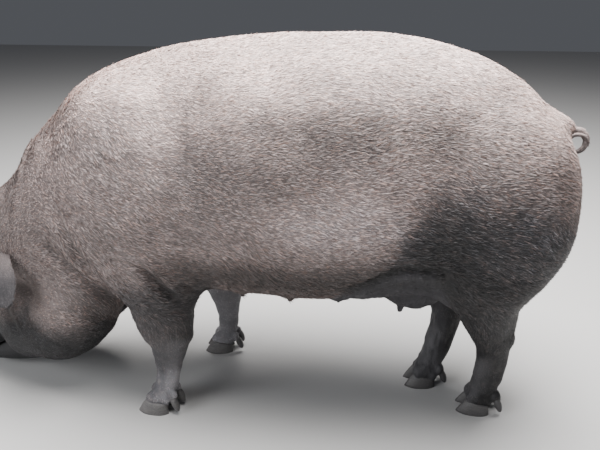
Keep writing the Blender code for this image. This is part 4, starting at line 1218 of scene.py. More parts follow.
class Shader:
    """The nodes of one material around a Principled shader."""

    def __init__(self, name: str) -> None:
        """Starts a material with its Principled shader and output only."""
        self.material = bpy.data.materials.new(name)
        self.material.use_nodes = True
        self.nodes = self.material.node_tree.nodes
        self.links = self.material.node_tree.links
        self.surface = self.nodes["Principled BSDF"]

    def node(self, kind: str, settings: dict[str, object] | None = None,
             inputs: dict[str | int, object] | None = None) -> Node:
        """Adds one node.

        Args:
            kind: The node's type.
            settings: Properties, set first.
            inputs: Values or links for its sockets, by name or number.

        Returns:
            The new node.
        """
        made = self.nodes.new(kind)
        for name, value in (settings or {}).items():
            setattr(made, name, value)
        for name, value in (inputs or {}).items():
            self.feed(made.inputs[name], value)
        return made

    def feed(self, socket: NodeSocket, value: object) -> None:
        """Links a socket to what is given, or sets it."""
        source = value.socket if isinstance(value, Value) else value
        if isinstance(source, NodeSocket):
            self.links.new(source, socket)
        elif socket.type == "RGBA":
            socket.default_value = (*value, 1.0)
        else:
            socket.default_value = value

    def number(self, name: str) -> Value:
        """A number that the mesh carries at its points."""
        return Value(self, self.node("ShaderNodeAttribute", {"attribute_name": name}).outputs["Fac"])

    def masks(self) -> tuple[Value, Value, Value, Value]:
        """The masks of mud, painted light on the top, bare skin and dust that the mesh carries at its
        points.
        """
        source = self.node("ShaderNodeAttribute", {"attribute_name": "masks"})
        parts = self.node("ShaderNodeSeparateColor", None, {0: source.outputs["Color"]})
        return (*(Value(self, out) for out in parts.outputs), Value(self, source.outputs["Alpha"]))

    def mix(self, share: Value | float, first: object, second: object,
            blend: str = "MIX") -> NodeSocket:
        """Mixes two colours by a share."""
        made = self.node("ShaderNodeMix", {"data_type": "RGBA", "blend_type": blend})
        self.feed(made.inputs["Factor"], share)
        self.feed(made.inputs[6], first)
        self.feed(made.inputs[7], second)
        return made.outputs[2]

    def scaled(self, colour: NodeSocket | Colour, factor: Value) -> NodeSocket:
        """A colour multiplied by a number."""
        made = self.node("ShaderNodeVectorMath", {"operation": "SCALE"}, {0: colour, "Scale": factor})
        return made.outputs[0]

    def noise(self, scale: float, detail: float = 3.0, stretch: Point = (1.0, 1.0, 1.0)) -> Value:
        """Noise in the object's own space, about 0.5 on average.

        Args:
            scale: Cells in a metre.
            detail: How many finer layers it has.
            stretch: Factors on the three axes.

        Returns:
            The noise as a value.
        """
        where = self.node("ShaderNodeTexCoord").outputs["Object"]
        where = self.node("ShaderNodeVectorMath", {"operation": "MULTIPLY"}, {0: where, 1: stretch})
        made = self.node("ShaderNodeTexNoise", None,
                         {"Vector": where.outputs[0], "Scale": scale, "Detail": detail})
        return Value(self, made.outputs["Fac"])

    def bump(self, height: Value, distance: float, strength: float = 1.0) -> None:
        """Feeds a height to the shader's normal."""
        made = self.node("ShaderNodeBump", None,
                         {"Height": height, "Distance": distance, "Strength": strength})
        self.feed(self.surface.inputs["Normal"], made.outputs["Normal"])

    def fix(self, **values: object) -> None:
        """Sets constants on the shader's own sockets, spaces written as underscores."""
        for name, value in values.items():
            self.feed(self.surface.inputs[name.replace("_", " ")], value)


@dataclass(frozen=True)
class Palette:
    """The colours of the hide, bristle, mud, dust and bare skin, and the paler colour painted as light on
    the top.
    """

    brown: Colour = (0.222, 0.182, 0.175)
    # Painted light: the paler colour of the upward-facing back and the rump's rim
    pale: Colour = (0.66, 0.525, 0.49)
    mud: Colour = (0.029, 0.029, 0.033)
    dust: Colour = (0.23, 0.225, 0.24)
    bare: Colour = (0.088, 0.084, 0.096)

    def colour(self, shader: Shader, gain: float) -> NodeSocket:
        """The marked colour that skin and coat share.

        Args:
            shader: The material's nodes.
            gain: What all is multiplied by.

        Returns:
            A colour socket.
        """
        mud, pale, bare, dust = shader.masks()
        # Painted light on the top, mixed in by its mask
        colour = shader.mix(pale, self.brown, self.pale)
        colour = shader.mix(mud, colour, self.mud)
        colour = shader.mix(bare, colour, self.bare)
        colour = shader.mix(dust, colour, self.dust)
        return shader.scaled(colour, shader.number("shade") * gain)


@dataclass(frozen=True)
class SkinFinish:
    """Hide under the bristle: darker than the coat, with pores and fine wrinkles."""

    palette: Palette = Palette()
    gain: float = 0.62

    def material(self) -> Material:
        """Builds the material.

        Returns:
            The new material.
        """
        shader = Shader("hide skin")
        grain = shader.noise(420.0, 4.0, (0.45, 1.0, 1.0))
        pores = shader.noise(1400.0, 2.0)
        bare = shader.masks()[2]
        wrinkles = bare * shader.noise(75.0, 3.0, (1.0, 0.5, 0.35)).between(0.3, 0.7)
        colour = shader.scaled(self.palette.colour(shader, self.gain), 0.66 + 0.6 * grain + 0.35 * wrinkles)
        shader.fix(Base_Color=colour, Roughness=0.62, Specular_IOR_Level=0.35)
        shader.bump(grain * 0.7 + pores * 0.3 + wrinkles * 1.5, 0.0016, 0.8)
        return shader.material


@dataclass(frozen=True)
class BareFinish:
    """Bare moist skin of the snout's disc."""

    base: Colour = (0.22, 0.15, 0.142)
    spot: Colour = (0.1, 0.085, 0.085)
    gain: float = 0.62
    palette: Palette = Palette()

    def material(self) -> Material:
        """Builds the material.

        Returns:
            The new material.
        """
        shader = Shader("snout skin")
        grain = shader.noise(260.0, 4.0)
        colour = shader.mix(grain.between(0.35, 0.7), self.base, self.spot)
        plain = self.palette.colour(shader, self.gain)
        colour = shader.mix(shader.number("disc"), plain, colour)
        shader.fix(Base_Color=colour, Roughness=0.45)
        shader.bump(grain, 0.0012, 0.7)
        return shader.material


@dataclass(frozen=True)
class CoatFinish:
    """Short coarse bristle, lighter toward its tips and different from tuft to tuft."""

    palette: Palette = Palette()
    gain: float = 1.0
    rust: Colour = (0.72, 0.46, 0.34)

    def material(self) -> Material:
        """Builds the material.

        Returns:
            The new material.
        """
        shader = Shader("bristle")
        tone = shader.number("tone")
        tip = shader.number("tip")
        gain = (0.12 + 1.8 * tone) * (0.62 + 0.56 * tip)
        colour = shader.scaled(self.palette.colour(shader, self.gain), gain)
        dry = shader.masks()[0] * tone.between(0.62, 0.92) * 0.55
        colour = shader.mix(dry, colour, shader.scaled(self.palette.dust, shader.number("shade")))
        colour = shader.mix(shader.number("warm").between(0.55, 1.0) * 0.55, colour, self.rust, "SOFT_LIGHT")
        shader.fix(Base_Color=colour, Roughness=0.46, Specular_IOR_Level=0.45)
        return shader.material


@dataclass(frozen=True)
class HornFinish:
    """Dusty grey horn with faint growth rings."""

    base: Colour = (0.105, 0.1, 0.1)
    ring: Colour = (0.15, 0.142, 0.138)
    dust: Colour = (0.21, 0.205, 0.205)
    mud: Colour = (0.04, 0.038, 0.04)

    def material(self) -> Material:
        """Builds the material.

        Returns:
            The new material.
        """
        shader = Shader("horn")
        rings = shader.noise(60.0, 3.0, (0.6, 0.6, 9.0))
        grain = shader.noise(300.0, 4.0)
        colour = shader.mix(rings.between(0.35, 0.65), self.base, self.ring)
        colour = shader.mix(grain.between(0.45, 0.75) * 0.6, colour, self.dust)
        colour = shader.mix(shader.number("mud"), colour, self.mud)
        shader.fix(Base_Color=colour, Roughness=0.5)
        shader.bump(rings * 0.6 + grain * 0.4, 0.0012, 0.8)
        return shader.material


@dataclass(frozen=True)
class EyeFinish:
    """Dark brown iris round a pupil, under a wet cornea."""

    iris: Colour = (0.03, 0.014, 0.008)
    white: Colour = (0.12, 0.075, 0.06)
    pupil: Colour = (0.003, 0.004, 0.004)

    def material(self) -> Material:
        """Builds the material.

        Returns:
            The new material.
        """
        shader = Shader("eye")
        gaze = shader.number("gaze")
        streaks = shader.noise(900.0, 3.0)
        colour = shader.mix(gaze.between(0.5, 0.62), self.white, self.iris)
        colour = shader.scaled(colour, 0.6 + 0.8 * streaks)
        colour = shader.mix(gaze.between(0.885, 0.905), colour, self.pupil)
        shader.fix(Base_Color=colour, Roughness=0.12, Coat_Weight=1.0, Coat_Roughness=0.03)
        return shader.material


@dataclass
class SkinPiece:
    """One part of the skin with what the coat needs to grow on it."""

    name: str
    points: Array
    triangles: Array
    normals: Array
    masks: Array
    shade: Array
    chart: Array
    item: Object


@dataclass
class Skin:
    """The one skin that stands for every node of flesh: body, face, ears and tail."""

    flesh: Flesh
    hide: Hide
    body_cell: float = 0.0068
    face_cell: float = 0.0024
    face_start: float = 0.17
    leg_cell: float = 0.0034
    leg_top: float = 0.225
    ear_bare: float = 0.85
    ear_shade: float = 0.42
    ear_steps: int = 56
    ear_across: int = 22
    tail_rings: int = 70
    tail_around: int = 16
    curl_steps: int = 32

    def __post_init__(self) -> None:
        """Works out how width, roll and thickness run along an ear."""
        self.ear_width = Profile(*self.flesh.sow.ear_widths)
        self.ear_roll = Profile((-0.1, 0.3, 1.02), (9.0, 5.0, 2.5))
        self.ear_thick = Profile((-0.1, 0.2, 1.02), (1.5, 1.0, 0.7))

    def build(self) -> list[SkinPiece]:
        """Builds every part of the skin and dresses it.

        Returns:
            The parts, for the coat to grow on.
        """
        hide = SkinFinish().material()
        snout = BareFinish().material()
        pieces = [
            (self.body(), ["torso", "neck", "udder", *(f"{foot.leg}_upper" for foot in Foot)]),
            (self.face(), ["head", "snout"]),
            (self.ear("ear_left", -1), ["ear_left"]),
            (self.ear("ear_right", 1), ["ear_right"]),
            (self.tail(), ["tail"]),
            *((self.leg(foot), [f"{foot.leg}_lower"]) for foot in Foot),
        ]
        for piece, nodes in pieces:
            piece.item.data.materials.append(hide)
            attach(piece.item, "root")
            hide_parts(*nodes)
        self.dress_disc(pieces[1][0], snout)
        return [piece for piece, _ in pieces]

    def piece(self, name: str, points: Array, faces: Array, chart: Array,
              folded: bool = True) -> SkinPiece:
        """Folds, marks and creates one part of the skin.

        Args:
            name: Name of the object.
            points: Places on the plain skin.
            faces: Quads that join them.
            chart: Places of the points on the unwrapped skin.
            folded: Whether folds and wrinkles are pressed in.

        Returns:
            The part with everything that the coat needs.
        """
        mesh = Mesh(name, points, faces)
        triangles = mesh.triangles()
        if folded:
            mesh.points = self.hide.fold(points, vertex_normals(points, triangles))
        normals = vertex_normals(mesh.points, triangles)
        masks, shade = self.hide.mark(mesh.points, normals)
        if not folded:
            low = ease(0.4, 0.345, points[:, 2])
            masks[:, 2] = self.ear_bare * (0.35 + 0.65 * low)
            shade *= 0.86 * (1 - (1 - self.ear_shade) * low)
        disc = ease(0.468, 0.476, self.flesh.head_axes(points)[:, 0])
        mesh.masks = masks
        mesh.numbers = {"disc": disc, "shade": shade}
        item = mesh.create(self.flesh.sow)
        return SkinPiece(name, mesh.points, triangles, normals, masks, shade, chart, item)

    def body(self) -> SkinPiece:
        """Trunk, neck, jowls and legs down to the coronets.

        Returns:
            The part.
        """
        low, high = (-0.9, -0.3, 0.018), (0.66, 0.3, 0.945)
        net = SurfaceNet(low, high, self.body_cell)

        def cut(p: Array) -> Array:
            """Skin without the face and cut off at the claws."""
            return np.maximum(self.flesh.skin(p), self.flesh.head_axes(p)[:, 0] - self.face_start - 0.034)

        points, faces = net.build(cut)
        keep = self.flesh.head_axes(points)[:, 0] < self.face_start + 0.01
        for foot in Foot:
            shank = self.flesh.near_leg(points, foot, self.flesh.shank)
            keep &= ~(shank & (points[:, 2] < self.leg_top - 0.018))
        points, faces = self.only(points, faces, keep)
        x, y, z = points.T
        angle = np.arctan2(np.abs(y), z - 0.42) / math.pi
        chart = np.stack(((x - low[0]) / (high[0] - low[0]), 0.5 + 0.5 * angle * np.sign(y + 1e-9)), 1)
        return self.piece("skin_body", points, faces, chart)

    def leg(self, foot: Foot) -> SkinPiece:
        """The lower leg with its toes, down into the claws.

        Args:
            foot: Which leg.

        Returns:
            The part.
        """
        x, y, join_x, join_y = foot.value
        low = (min(x, join_x) - 0.085, min(y, join_y) - 0.075, 0.004)
        high = (max(x, join_x) + 0.105, max(y, join_y) + 0.075, self.leg_top + 0.016)
        net = SurfaceNet(low, high, self.leg_cell)
        points, faces = net.build(lambda p: np.maximum(self.flesh.skin(p), 0.012 - p[:, 2]))
        keep = self.flesh.near_leg(points, foot, self.flesh.shank) & (points[:, 2] < self.leg_top)
        points, faces = self.only(points, faces, keep)
        mid_x, mid_y = self.flesh.leg_middle(points[:, 2], foot)
        turn = np.arctan2(points[:, 1] - mid_y, points[:, 0] - mid_x) / (2 * math.pi) + 0.5
        chart = np.stack((turn, points[:, 2] / 0.25), 1)
        return self.piece(f"skin_{foot.leg}", points, faces, chart)

    def face(self) -> SkinPiece:
        """The head from behind the eyes to the rooting disc, finely meshed.

        Returns:
            The part.
        """
        start = self.face_start
        corners = np.array([self.flesh.head_point(s, y, d) for s in (start - 0.04, 0.52)
                            for y in (-0.2, 0.2) for d in (-0.3, 0.24)])
        net = SurfaceNet(tuple(corners.min(0)), tuple(corners.max(0)), self.face_cell)

        def cut(p: Array) -> Array:
            """Face skin, ended a little behind where the body's skin begins."""
            return np.maximum(self.flesh.face(p), start - 0.026 - self.flesh.head_axes(p)[:, 0])

        points, faces = net.build(cut)
        keep = self.flesh.head_axes(points)[:, 0] > start - 0.01
        points, faces = self.only(points, faces, keep)
        s, y, d = self.flesh.head_axes(points).T
        chart = np.stack(((s - start + 0.02) / 0.36, np.arctan2(y, d + 0.02) / (2 * math.pi) + 0.5), 1)
        return self.piece("skin_face", points, faces, chart)

    def only(self, points: Array, faces: Array, keep: Array) -> tuple[Array, Array]:
        """The part of a mesh whose points are kept."""
        faces = faces[keep[faces].all(1)]
        used, faces = np.unique(faces, return_inverse=True)
        return points[used], faces.reshape(-1, 4)

    def dress_disc(self, face: SkinPiece, finish: Material) -> None:
        """Gives the faces of the rooting disc their own finish."""
        face.item.data.materials.append(finish)
        s = self.flesh.head_axes(face.points)[:, 0]
        corners = np.empty(len(face.item.data.polygons) * 4, np.int32)
        face.item.data.loops.foreach_get("vertex_index", corners)
        first = corners.reshape(-1, 4)[:, 0]
        slots = (s[first] > self.flesh.sow.disc_s - 0.022).astype(np.int32)
        face.item.data.polygons.foreach_set("material_index", slots)

    def ear_point(self, a: float, b: float, face: int, side: int) -> Point:
        """A point of an ear.

        Args:
            a: Share of its length.
            b: From -1 to 1 across it.
            face: 1 on the outer face and -1 in the cup.
            side: -1 for the left ear and 1 for the right one.

        Returns:
            The place in the layout.
        """
        sow = self.flesh.sow
        along = np.subtract(sow.ear_tip, sow.ear_root)
        length = np.linalg.norm(along)
        along = along / length
        outward = square_to(along, sow.ear_outward)
        across = np.cross(along, outward)
        width = sow.ear_half_width * self.ear_width(a)
        thick = sow.ear_half_thick * self.ear_thick(a) * 0.62
        reach = b * width
        ripple = 0.0045 * math.sin(11 * a + 1.5 * side) * b * abs(b) * min(1.0, max(0.0, a * 2))
        vein = 0.0009 * math.sin(17 * b + 5 * a + 2 * math.sin(4 * a)) * (1 - abs(b)) * (face > 0)
        lift = 0.012 - self.ear_roll(a) * reach * reach - 0.012 * ((a - 0.45) / 0.55) ** 2
        rim = math.sqrt(max(0.0, 1 - b**4)) * 0.85 + 0.15 * math.sqrt(max(0.0, 1 - b * b))
        point = sow.ear_root + along * length * a + across * reach
        point = point + outward * (lift + ripple + vein + face * thick * rim)
        return (point[0], -side * point[1], point[2])

    def ear(self, name: str, side: int) -> SkinPiece:
        """One ear as a bent leaf with a cup on its inner face.

        Args:
            name: The node that it stands for.
            side: -1 for the left ear and 1 for the right one.

        Returns:
            The part.
        """
        turns = [math.cos(math.pi * i / self.ear_across) for i in range(self.ear_across + 1)]
        ring = [(b, 1) for b in turns] + [(-b, -1) for b in turns[1:-1]]
        points, chart = [], []
        for k in range(self.ear_steps + 1):
            a = -0.1 + 1.115 * k / self.ear_steps
            for b, face in ring:
                points.append(self.ear_point(a, b, face, side))
                chart.append((0.04 + 0.92 * (a + 0.1) / 1.13, 0.25 + 0.23 * b + 0.5 * (face < 0)))
        count = len(ring)
        quads = tube_quads(self.ear_steps + 1, count)
        end = self.ear_steps * count
        for i in range(self.ear_across):
            quads.append((end + i, end + i + 1, end + (count - i - 1) % count, end + (count - i) % count))
        points = np.array(points)
        faces = self.outward(points, np.array(quads))
        return self.piece(f"skin_{name}", points, faces, np.array(chart), False)

    def outward(self, points: Array, faces: Array) -> Array:
        """Quads turned so that a closed mesh's normals point out."""
        a, b, c, d = (points[faces[:, i]] for i in range(4))
        volume = (np.cross(b - a, c - a) * a).sum() + (np.cross(c - a, d - a) * a).sum()
        return faces if volume > 0 else faces[:, ::-1]

    def tail(self) -> SkinPiece:
        """The tail: a short stalk and a curl.

        Returns:
            The part.
        """
        sow = self.flesh.sow
        root = np.array(sow.tail_root)
        path = [root + (0.015 * k, 0.0, 0.002 * k) for k in range(-2, 3)]
        centre = path[-1] - (0.0, 0.0, sow.tail_curl)
        for k in range(1, self.curl_steps + 1):
            turn = 2 * math.pi * sow.tail_turns * k / self.curl_steps
            radius = sow.tail_curl * (1 - 0.18 * k / self.curl_steps)
            offset = (math.sin(turn) * radius, -0.03 * k / self.curl_steps, math.cos(turn) * radius)
            path.append(centre + offset)
        count = self.tail_rings
        path = smooth_path(np.array(path), count)
        points, chart = [], []
        for k in range(count):
            ahead = path[min(k + 1, count - 1)] - path[max(k - 1, 0)]
            ahead = ahead / np.linalg.norm(ahead)
            side = square_to(ahead, (0.0, 1.0, 0.0))
            up = np.cross(side, ahead)
            share = k / (count - 1)
            radius = sow.tail_radii[0] + (sow.tail_radii[1] - sow.tail_radii[0]) * min(1, share * 1.6)
            radius = (radius - 0.001) * (1 + 0.05 * math.sin(share * 90))
            radius *= math.sqrt(max(0.02, 1 - max(0.0, (share - 0.94) / 0.06) ** 2))
            for i in range(self.tail_around):
                turn = 2 * math.pi * i / self.tail_around
                points.append(path[k] + (side * math.cos(turn) + up * math.sin(turn)) * radius)
                chart.append((share, i / self.tail_around))
        quads = tube_quads(count, self.tail_around)
        quads += cap_quads((count - 1) * self.tail_around, self.tail_around)
        points = np.array(points)
        faces = self.outward(points, np.array(quads))
        return self.piece("skin_tail", points, faces, np.array(chart), False)


@dataclass(frozen=True, eq=False)
class Growth:
    """How thickly and how long the bristle grows: tufts in a square metre, length, width and lift."""

    density: float
    length: float
    width: float
    lift: float


class Region(Enum):
    """Where each piece of the coat grows, and how."""

    BACK = Growth(118000, 0.0135, 0.0021, 0.13)
    FLANK_LEFT = Growth(122000, 0.0130, 0.0021, 0.14)
    FLANK_RIGHT = Growth(112000, 0.0135, 0.0022, 0.14)
    QUARTER_LEFT = Growth(122000, 0.0130, 0.0021, 0.14)
    QUARTER_RIGHT = Growth(112000, 0.0135, 0.0022, 0.14)
    NECK = Growth(118000, 0.0135, 0.0021, 0.16)
    LEGS = Growth(230000, 0.0085, 0.0014, 0.12)
    FACE = Growth(300000, 0.0080, 0.0012, 0.12)
    EARS = Growth(150000, 0.0075, 0.0010, 0.15)


@dataclass
class Coat:
    """The bristle: flat tapered tufts that lie along the body."""

    flesh: Flesh
    mottle: Mottle = field(default_factory=lambda: Mottle(29))
    seed: int = 7
    thin_out: float = 1.0
    # How far single tufts turn away from the lie and roll on their own axis, in radians
    yaw_spread: float = 0.17
    roll_spread: float = 0.4
    root_depth: float = 0.0005
    bake_patch: float = 0.003
    lash_count: int = 26
    lash_length: float = 1.25

    def region_of(self, piece: SkinPiece, p: Array, n: Array) -> Array:
        """Which region each root belongs to, as a number in the order of Region.

        Args:
            piece: The part of the skin it grows on.
            p: Roots.
            n: Normals at the roots.

        Returns:
            One number for each root.
        """
        order = {region: k for k, region in enumerate(Region)}
        if piece.name.startswith("skin_ear") or piece.name == "skin_tail":
            return np.full(len(p), order[Region.EARS])
        if piece.name == "skin_face":
            return np.full(len(p), order[Region.FACE])
        if "leg" in piece.name:
            return np.full(len(p), order[Region.LEGS])
        x, y, z = p.T
        front = x < 0.14
        left = np.where(front, order[Region.FLANK_LEFT], order[Region.QUARTER_LEFT])
        right = np.where(front, order[Region.FLANK_RIGHT], order[Region.QUARTER_RIGHT])
        result = np.where(y < 0, left, right)
        result = np.where((n[:, 2] > 0.62) & (z > 0.6), order[Region.BACK], result)
        return np.where(x < -0.44, order[Region.NECK], result)

    def lie(self, piece: SkinPiece, p: Array, n: Array) -> Array:
        """The way the bristle points at each root.

        Args:
            piece: The part of the skin it grows on.
            p: Roots.
            n: Normals at the roots.

        Returns:
            Unit vectors along the skin.
        """
        x, _, z = p.T
        s, _, d = self.flesh.skin_axes(p).T
        down = 0.2 + 0.55 * ease(0.15, 0.55, x) * ease(0.8, 0.45, z) + 0.25 * ease(-0.1, -0.4, x)
        trunk = np.stack((np.ones(len(p)), 0 * x, -down), 1)
        if piece.name == "skin_tail":
            flow = np.cross(p - self.flesh.sow.tail_root - (0.03, 0, -0.023), (0.0, -1.0, 0.0))
        elif piece.name.startswith("skin_ear"):
            side = 1.0 if piece.name.endswith("right") else -1.0
            along = np.subtract(self.flesh.sow.ear_tip, self.flesh.sow.ear_root)
            flow = np.tile(along * (1.0, -side, 1.0), (len(p), 1))
        else:
            pitch = self.flesh.sow.head_pitch
            nape, cheek = (math.cos(pitch), 0.0, math.sin(pitch)), (0.95, 0.0, 0.05)
            top = ease(-0.02, 0.08, d)[:, None]
            head = nape * top + cheek * (1 - top)
            share = ease(-0.3, 0.12, s)[:, None]
            flow = trunk * (1 - share) + head * share
            leg = ease(0.34, 0.25, z) * (1 - ease(-0.02, 0.06, s))
            leg = leg[:, None] * (np.abs(n[:, 2:3]) < 0.8)
            flow = flow * (1 - leg) + (0.25, 0.0, -1.0) * leg
        flow = unit(flow - n * (flow * n).sum(1)[:, None])
        side = np.cross(n, flow)
        turn = 0.42 * self.mottle(p, 0.14, 2) + 0.22 * self.mottle(p, 0.022)
        return flow * np.cos(turn)[:, None] + side * np.sin(turn)[:, None]

    def thickness(self, piece: SkinPiece, p: Array, masks: Array) -> Array:
        """Share of the full density at each place: thin on belly, udder, lids and disc.

        Args:
            piece: The part of the skin.
            p: Places.
            masks: The masks there.

        Returns:
            One share for each place.
        """
        s, _, d = self.flesh.skin_axes(p).T
        bare = masks[:, 2]
        belly = ease(0.33, 0.37, p[:, 2]) + (p[:, 2] < 0.28)
        share = np.where(piece.name == "skin_body", np.clip(0.45 + 0.55 * belly, 0, 1), 1.0)
        if not piece.name.startswith("skin_ear"):
            share *= 1 - 0.94 * bare
        if piece.name == "skin_face":
            share = share * (1 - ease(0.45, 0.475, s)) * (1 - 0.35 * ease(0.36, 0.45, s))
            lips = np.abs(d - self.flesh.mouth_line(s)) < 0.006
            share *= np.where(lips & (s > 0.31), 0.05, 1.0)
        return share

    def shortness(self, piece: SkinPiece, p: Array) -> Array:
        """Length of the bristle at each place as a share of its region's length."""
        s, _, d = self.flesh.skin_axes(p).T
        if piece.name == "skin_face":
            near = 0.55 * ease(0.34, 0.17, s)
            return 1 + near - 0.62 * ease(0.2, 0.44, s) * ease(-0.16, -0.02, d) - 0.25 * ease(0.24, 0.4, s)
        return 1 - 0.25 * ease(-0.02, 0.16, s) - 0.3 * ease(0.32, 0.24, p[:, 2]) * (s < 0)

    def sample(self, piece: SkinPiece, rng: np.random.Generator) -> dict[str, Array]:
        """Scatters roots over one part of the skin.

        Args:
            piece: The part of the skin.
            rng: The seeded source of random numbers.

        Returns:
            Roots with their normals, masks, shades, chart places and regions.
        """
        t = piece.triangles
        a, b, c = (piece.points[t[:, i]] for i in range(3))
        area = np.linalg.norm(np.cross(b - a, c - a), axis=1) / 2
        middle = (a + b + c) / 3
        normal = unit(piece.normals[t].sum(1))
        region = self.region_of(piece, middle, normal)
        density = np.array([growth.value.density for growth in Region])[region]
        density = density * self.thickness(piece, middle, piece.masks[t].mean(1)) * self.thin_out
        expected = area * density
        count = np.floor(expected + rng.random(len(expected))).astype(int)
        index = np.repeat(np.arange(len(t)), count)
        u, v = rng.random((2, len(index)))
        swap = u + v > 1
        u[swap], v[swap] = 1 - u[swap], 1 - v[swap]
        weight = np.stack((1 - u - v, u, v), 1)[:, :, None]
        corner = t[index]
        flat = piece.chart[corner]
        wrapped = np.ptp(flat, axis=1).max(1) > 0.4
        chart = np.where(wrapped[:, None], flat[:, 0], (flat * weight).sum(1))
        return {
            "root": (piece.points[corner] * weight).sum(1),
            "normal": unit((piece.normals[corner] * weight).sum(1)),
            "masks": (piece.masks[corner] * weight).sum(1),
            "shade": (piece.shade[corner] * weight[:, :, 0]).sum(1),
            "chart": chart,
            "region": region[index],
            "short": self.shortness(piece, middle)[index],
        }

    def tufts(self, name: str, growth: Growth, roots: dict[str, Array],
              rng: np.random.Generator) -> Mesh:
        """Grows one tuft from each root: a short blade that bends back to the skin.

        Args:
            name: Name of the coat piece.
            growth: How the bristle grows here.
            roots: Roots with all that rides on them.
            rng: The seeded source of random numbers.

        Returns:
            The tufts as one mesh.
        """
        count = len(roots["root"])
        normal, flow = roots["normal"], roots["flow"]
        yaw = rng.normal(0, self.yaw_spread, count)
        side = np.cross(normal, flow)
        flow = flow * np.cos(yaw)[:, None] + side * np.sin(yaw)[:, None]
        side = np.cross(normal, flow)
        roll = rng.normal(0, self.roll_spread, count)
        flat = side * np.cos(roll)[:, None] + normal * np.sin(roll)[:, None]
        long = growth.length * rng.uniform(0.6, 1.3, count) * roots["short"]
        wide = growth.width * rng.uniform(0.65, 1.3, count) * np.sqrt(roots["short"])
        lift = long * growth.lift * np.clip(rng.normal(1.0, 0.4, count), 0.15, 2.4)
        start = roots["root"] - normal * self.root_depth
        tip = start + flow * long[:, None] + normal * lift[:, None]
        middle = start + flow * (0.42 * long)[:, None] + normal * (0.3 * lift - 0.0001)[:, None]
        half = flat * (wide / 2)[:, None]
        points = np.stack((start, middle + half, tip, middle - half), 1).reshape(-1, 3)
        base = (np.arange(count) * 4)[:, None, None]
        faces = (base + np.array(((0, 1, 2), (0, 2, 3)))[None]).reshape(-1, 3)
        clump = 0.5 + 0.5 * self.mottle(roots["root"], 0.006)
        tone = np.clip(0.78 * rng.beta(1.3, 1.5, count) + 0.22 * clump, 0, 1)
        tone = 0.42 + (tone - 0.42) * np.sqrt(np.clip(roots["short"], 0.2, 1))
        mesh = Mesh(name, points, faces)
        mesh.masks = roots["masks"].repeat(4, 0)
        mesh.numbers = {"tone": tone.repeat(4), "warm": rng.random(count).repeat(4),
                        "tip": np.tile((0.0, 0.5, 1.0, 0.5), count), "shade": roots["shade"].repeat(4)}
        patch = np.array(((0.0, -0.5), (0.5, 0.0), (0.0, 0.5), (-0.5, 0.0))) * self.bake_patch
        place = 0.004 + 0.992 * roots["chart"]
        mesh.bake = (place[:, None, :] + patch[None]).reshape(-1, 2)
        return mesh

    def lashes(self, rng: np.random.Generator) -> dict[str, Array]:
        """Roots of the pale lashes along the upper lids, in the same form as sampled ones.

        Args:
            rng: The seeded source of random numbers.

        Returns:
            Roots with all that rides on them.
        """
        sow = self.flesh.sow
        eye_s, eye_y, eye_d = sow.eye
        roots, flows = [], []
        for side in SIDES:
            for t in np.linspace(-1, 1, self.lash_count):
                high = 0.005 + 0.0058 * (1 - t * t)
                at = self.flesh.head_point(eye_s + 0.015 * t, side * (eye_y + 0.0088), eye_d + high)
                ahead = self.flesh.head_point(eye_s + 0.015 * t + 0.006 * t + 0.003,
                                              side * (eye_y + 0.0175), eye_d + high - 0.004)
                roots.append(at)
                flows.append(np.subtract(ahead, at))
        count = len(roots)
        up = np.subtract(self.flesh.head_point(0, 0, 1), self.flesh.head_point(0, 0, 0))
        return {
            "root": np.array(roots), "flow": unit(np.array(flows)), "normal": np.tile(up, (count, 1)),
            "masks": np.tile((0.3, 0.1, 0.0, 0.0), (count, 1)), "shade": np.full(count, 0.8),
            "chart": np.tile((0.3, 0.5), (count, 1)) + rng.uniform(0, 0.02, (count, 2)),
            "region": np.full(count, list(Region).index(Region.FACE)),
            "short": np.full(count, self.lash_length),
        }

    def build(self, pieces: list[SkinPiece]) -> list[Object]:
        """Grows the whole coat.

        Args:
            pieces: The parts of the skin.

        Returns:
            One object for each region.
        """
        rng = np.random.default_rng(self.seed)
        finish = CoatFinish().material()
        gathered: dict[int, list[dict[str, Array]]] = {}
        for piece in pieces:
            roots = self.sample(piece, rng)
            roots["flow"] = self.lie(piece, roots["root"], roots["normal"])
            for number in np.unique(roots["region"]):
                own = roots["region"] == number
                gathered.setdefault(int(number), []).append({k: v[own] for k, v in roots.items()})
        gathered[list(Region).index(Region.FACE)].append(self.lashes(rng))
        made = []
        for number, region in enumerate(Region):
            parts = gathered[number]
            roots = {k: np.concatenate([part[k] for part in parts]) for k in parts[0]}
            mesh = self.tufts(f"coat_{region.name.lower()}", region.value, roots, rng)
            item = mesh.create(self.flesh.sow, smooth=False)
            item.data.materials.append(finish)
            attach(item, "root")
            log.info("%s: %d tufts, %d triangles", item.name, len(roots["root"]), len(mesh.faces))
            made.append(item)
        return made


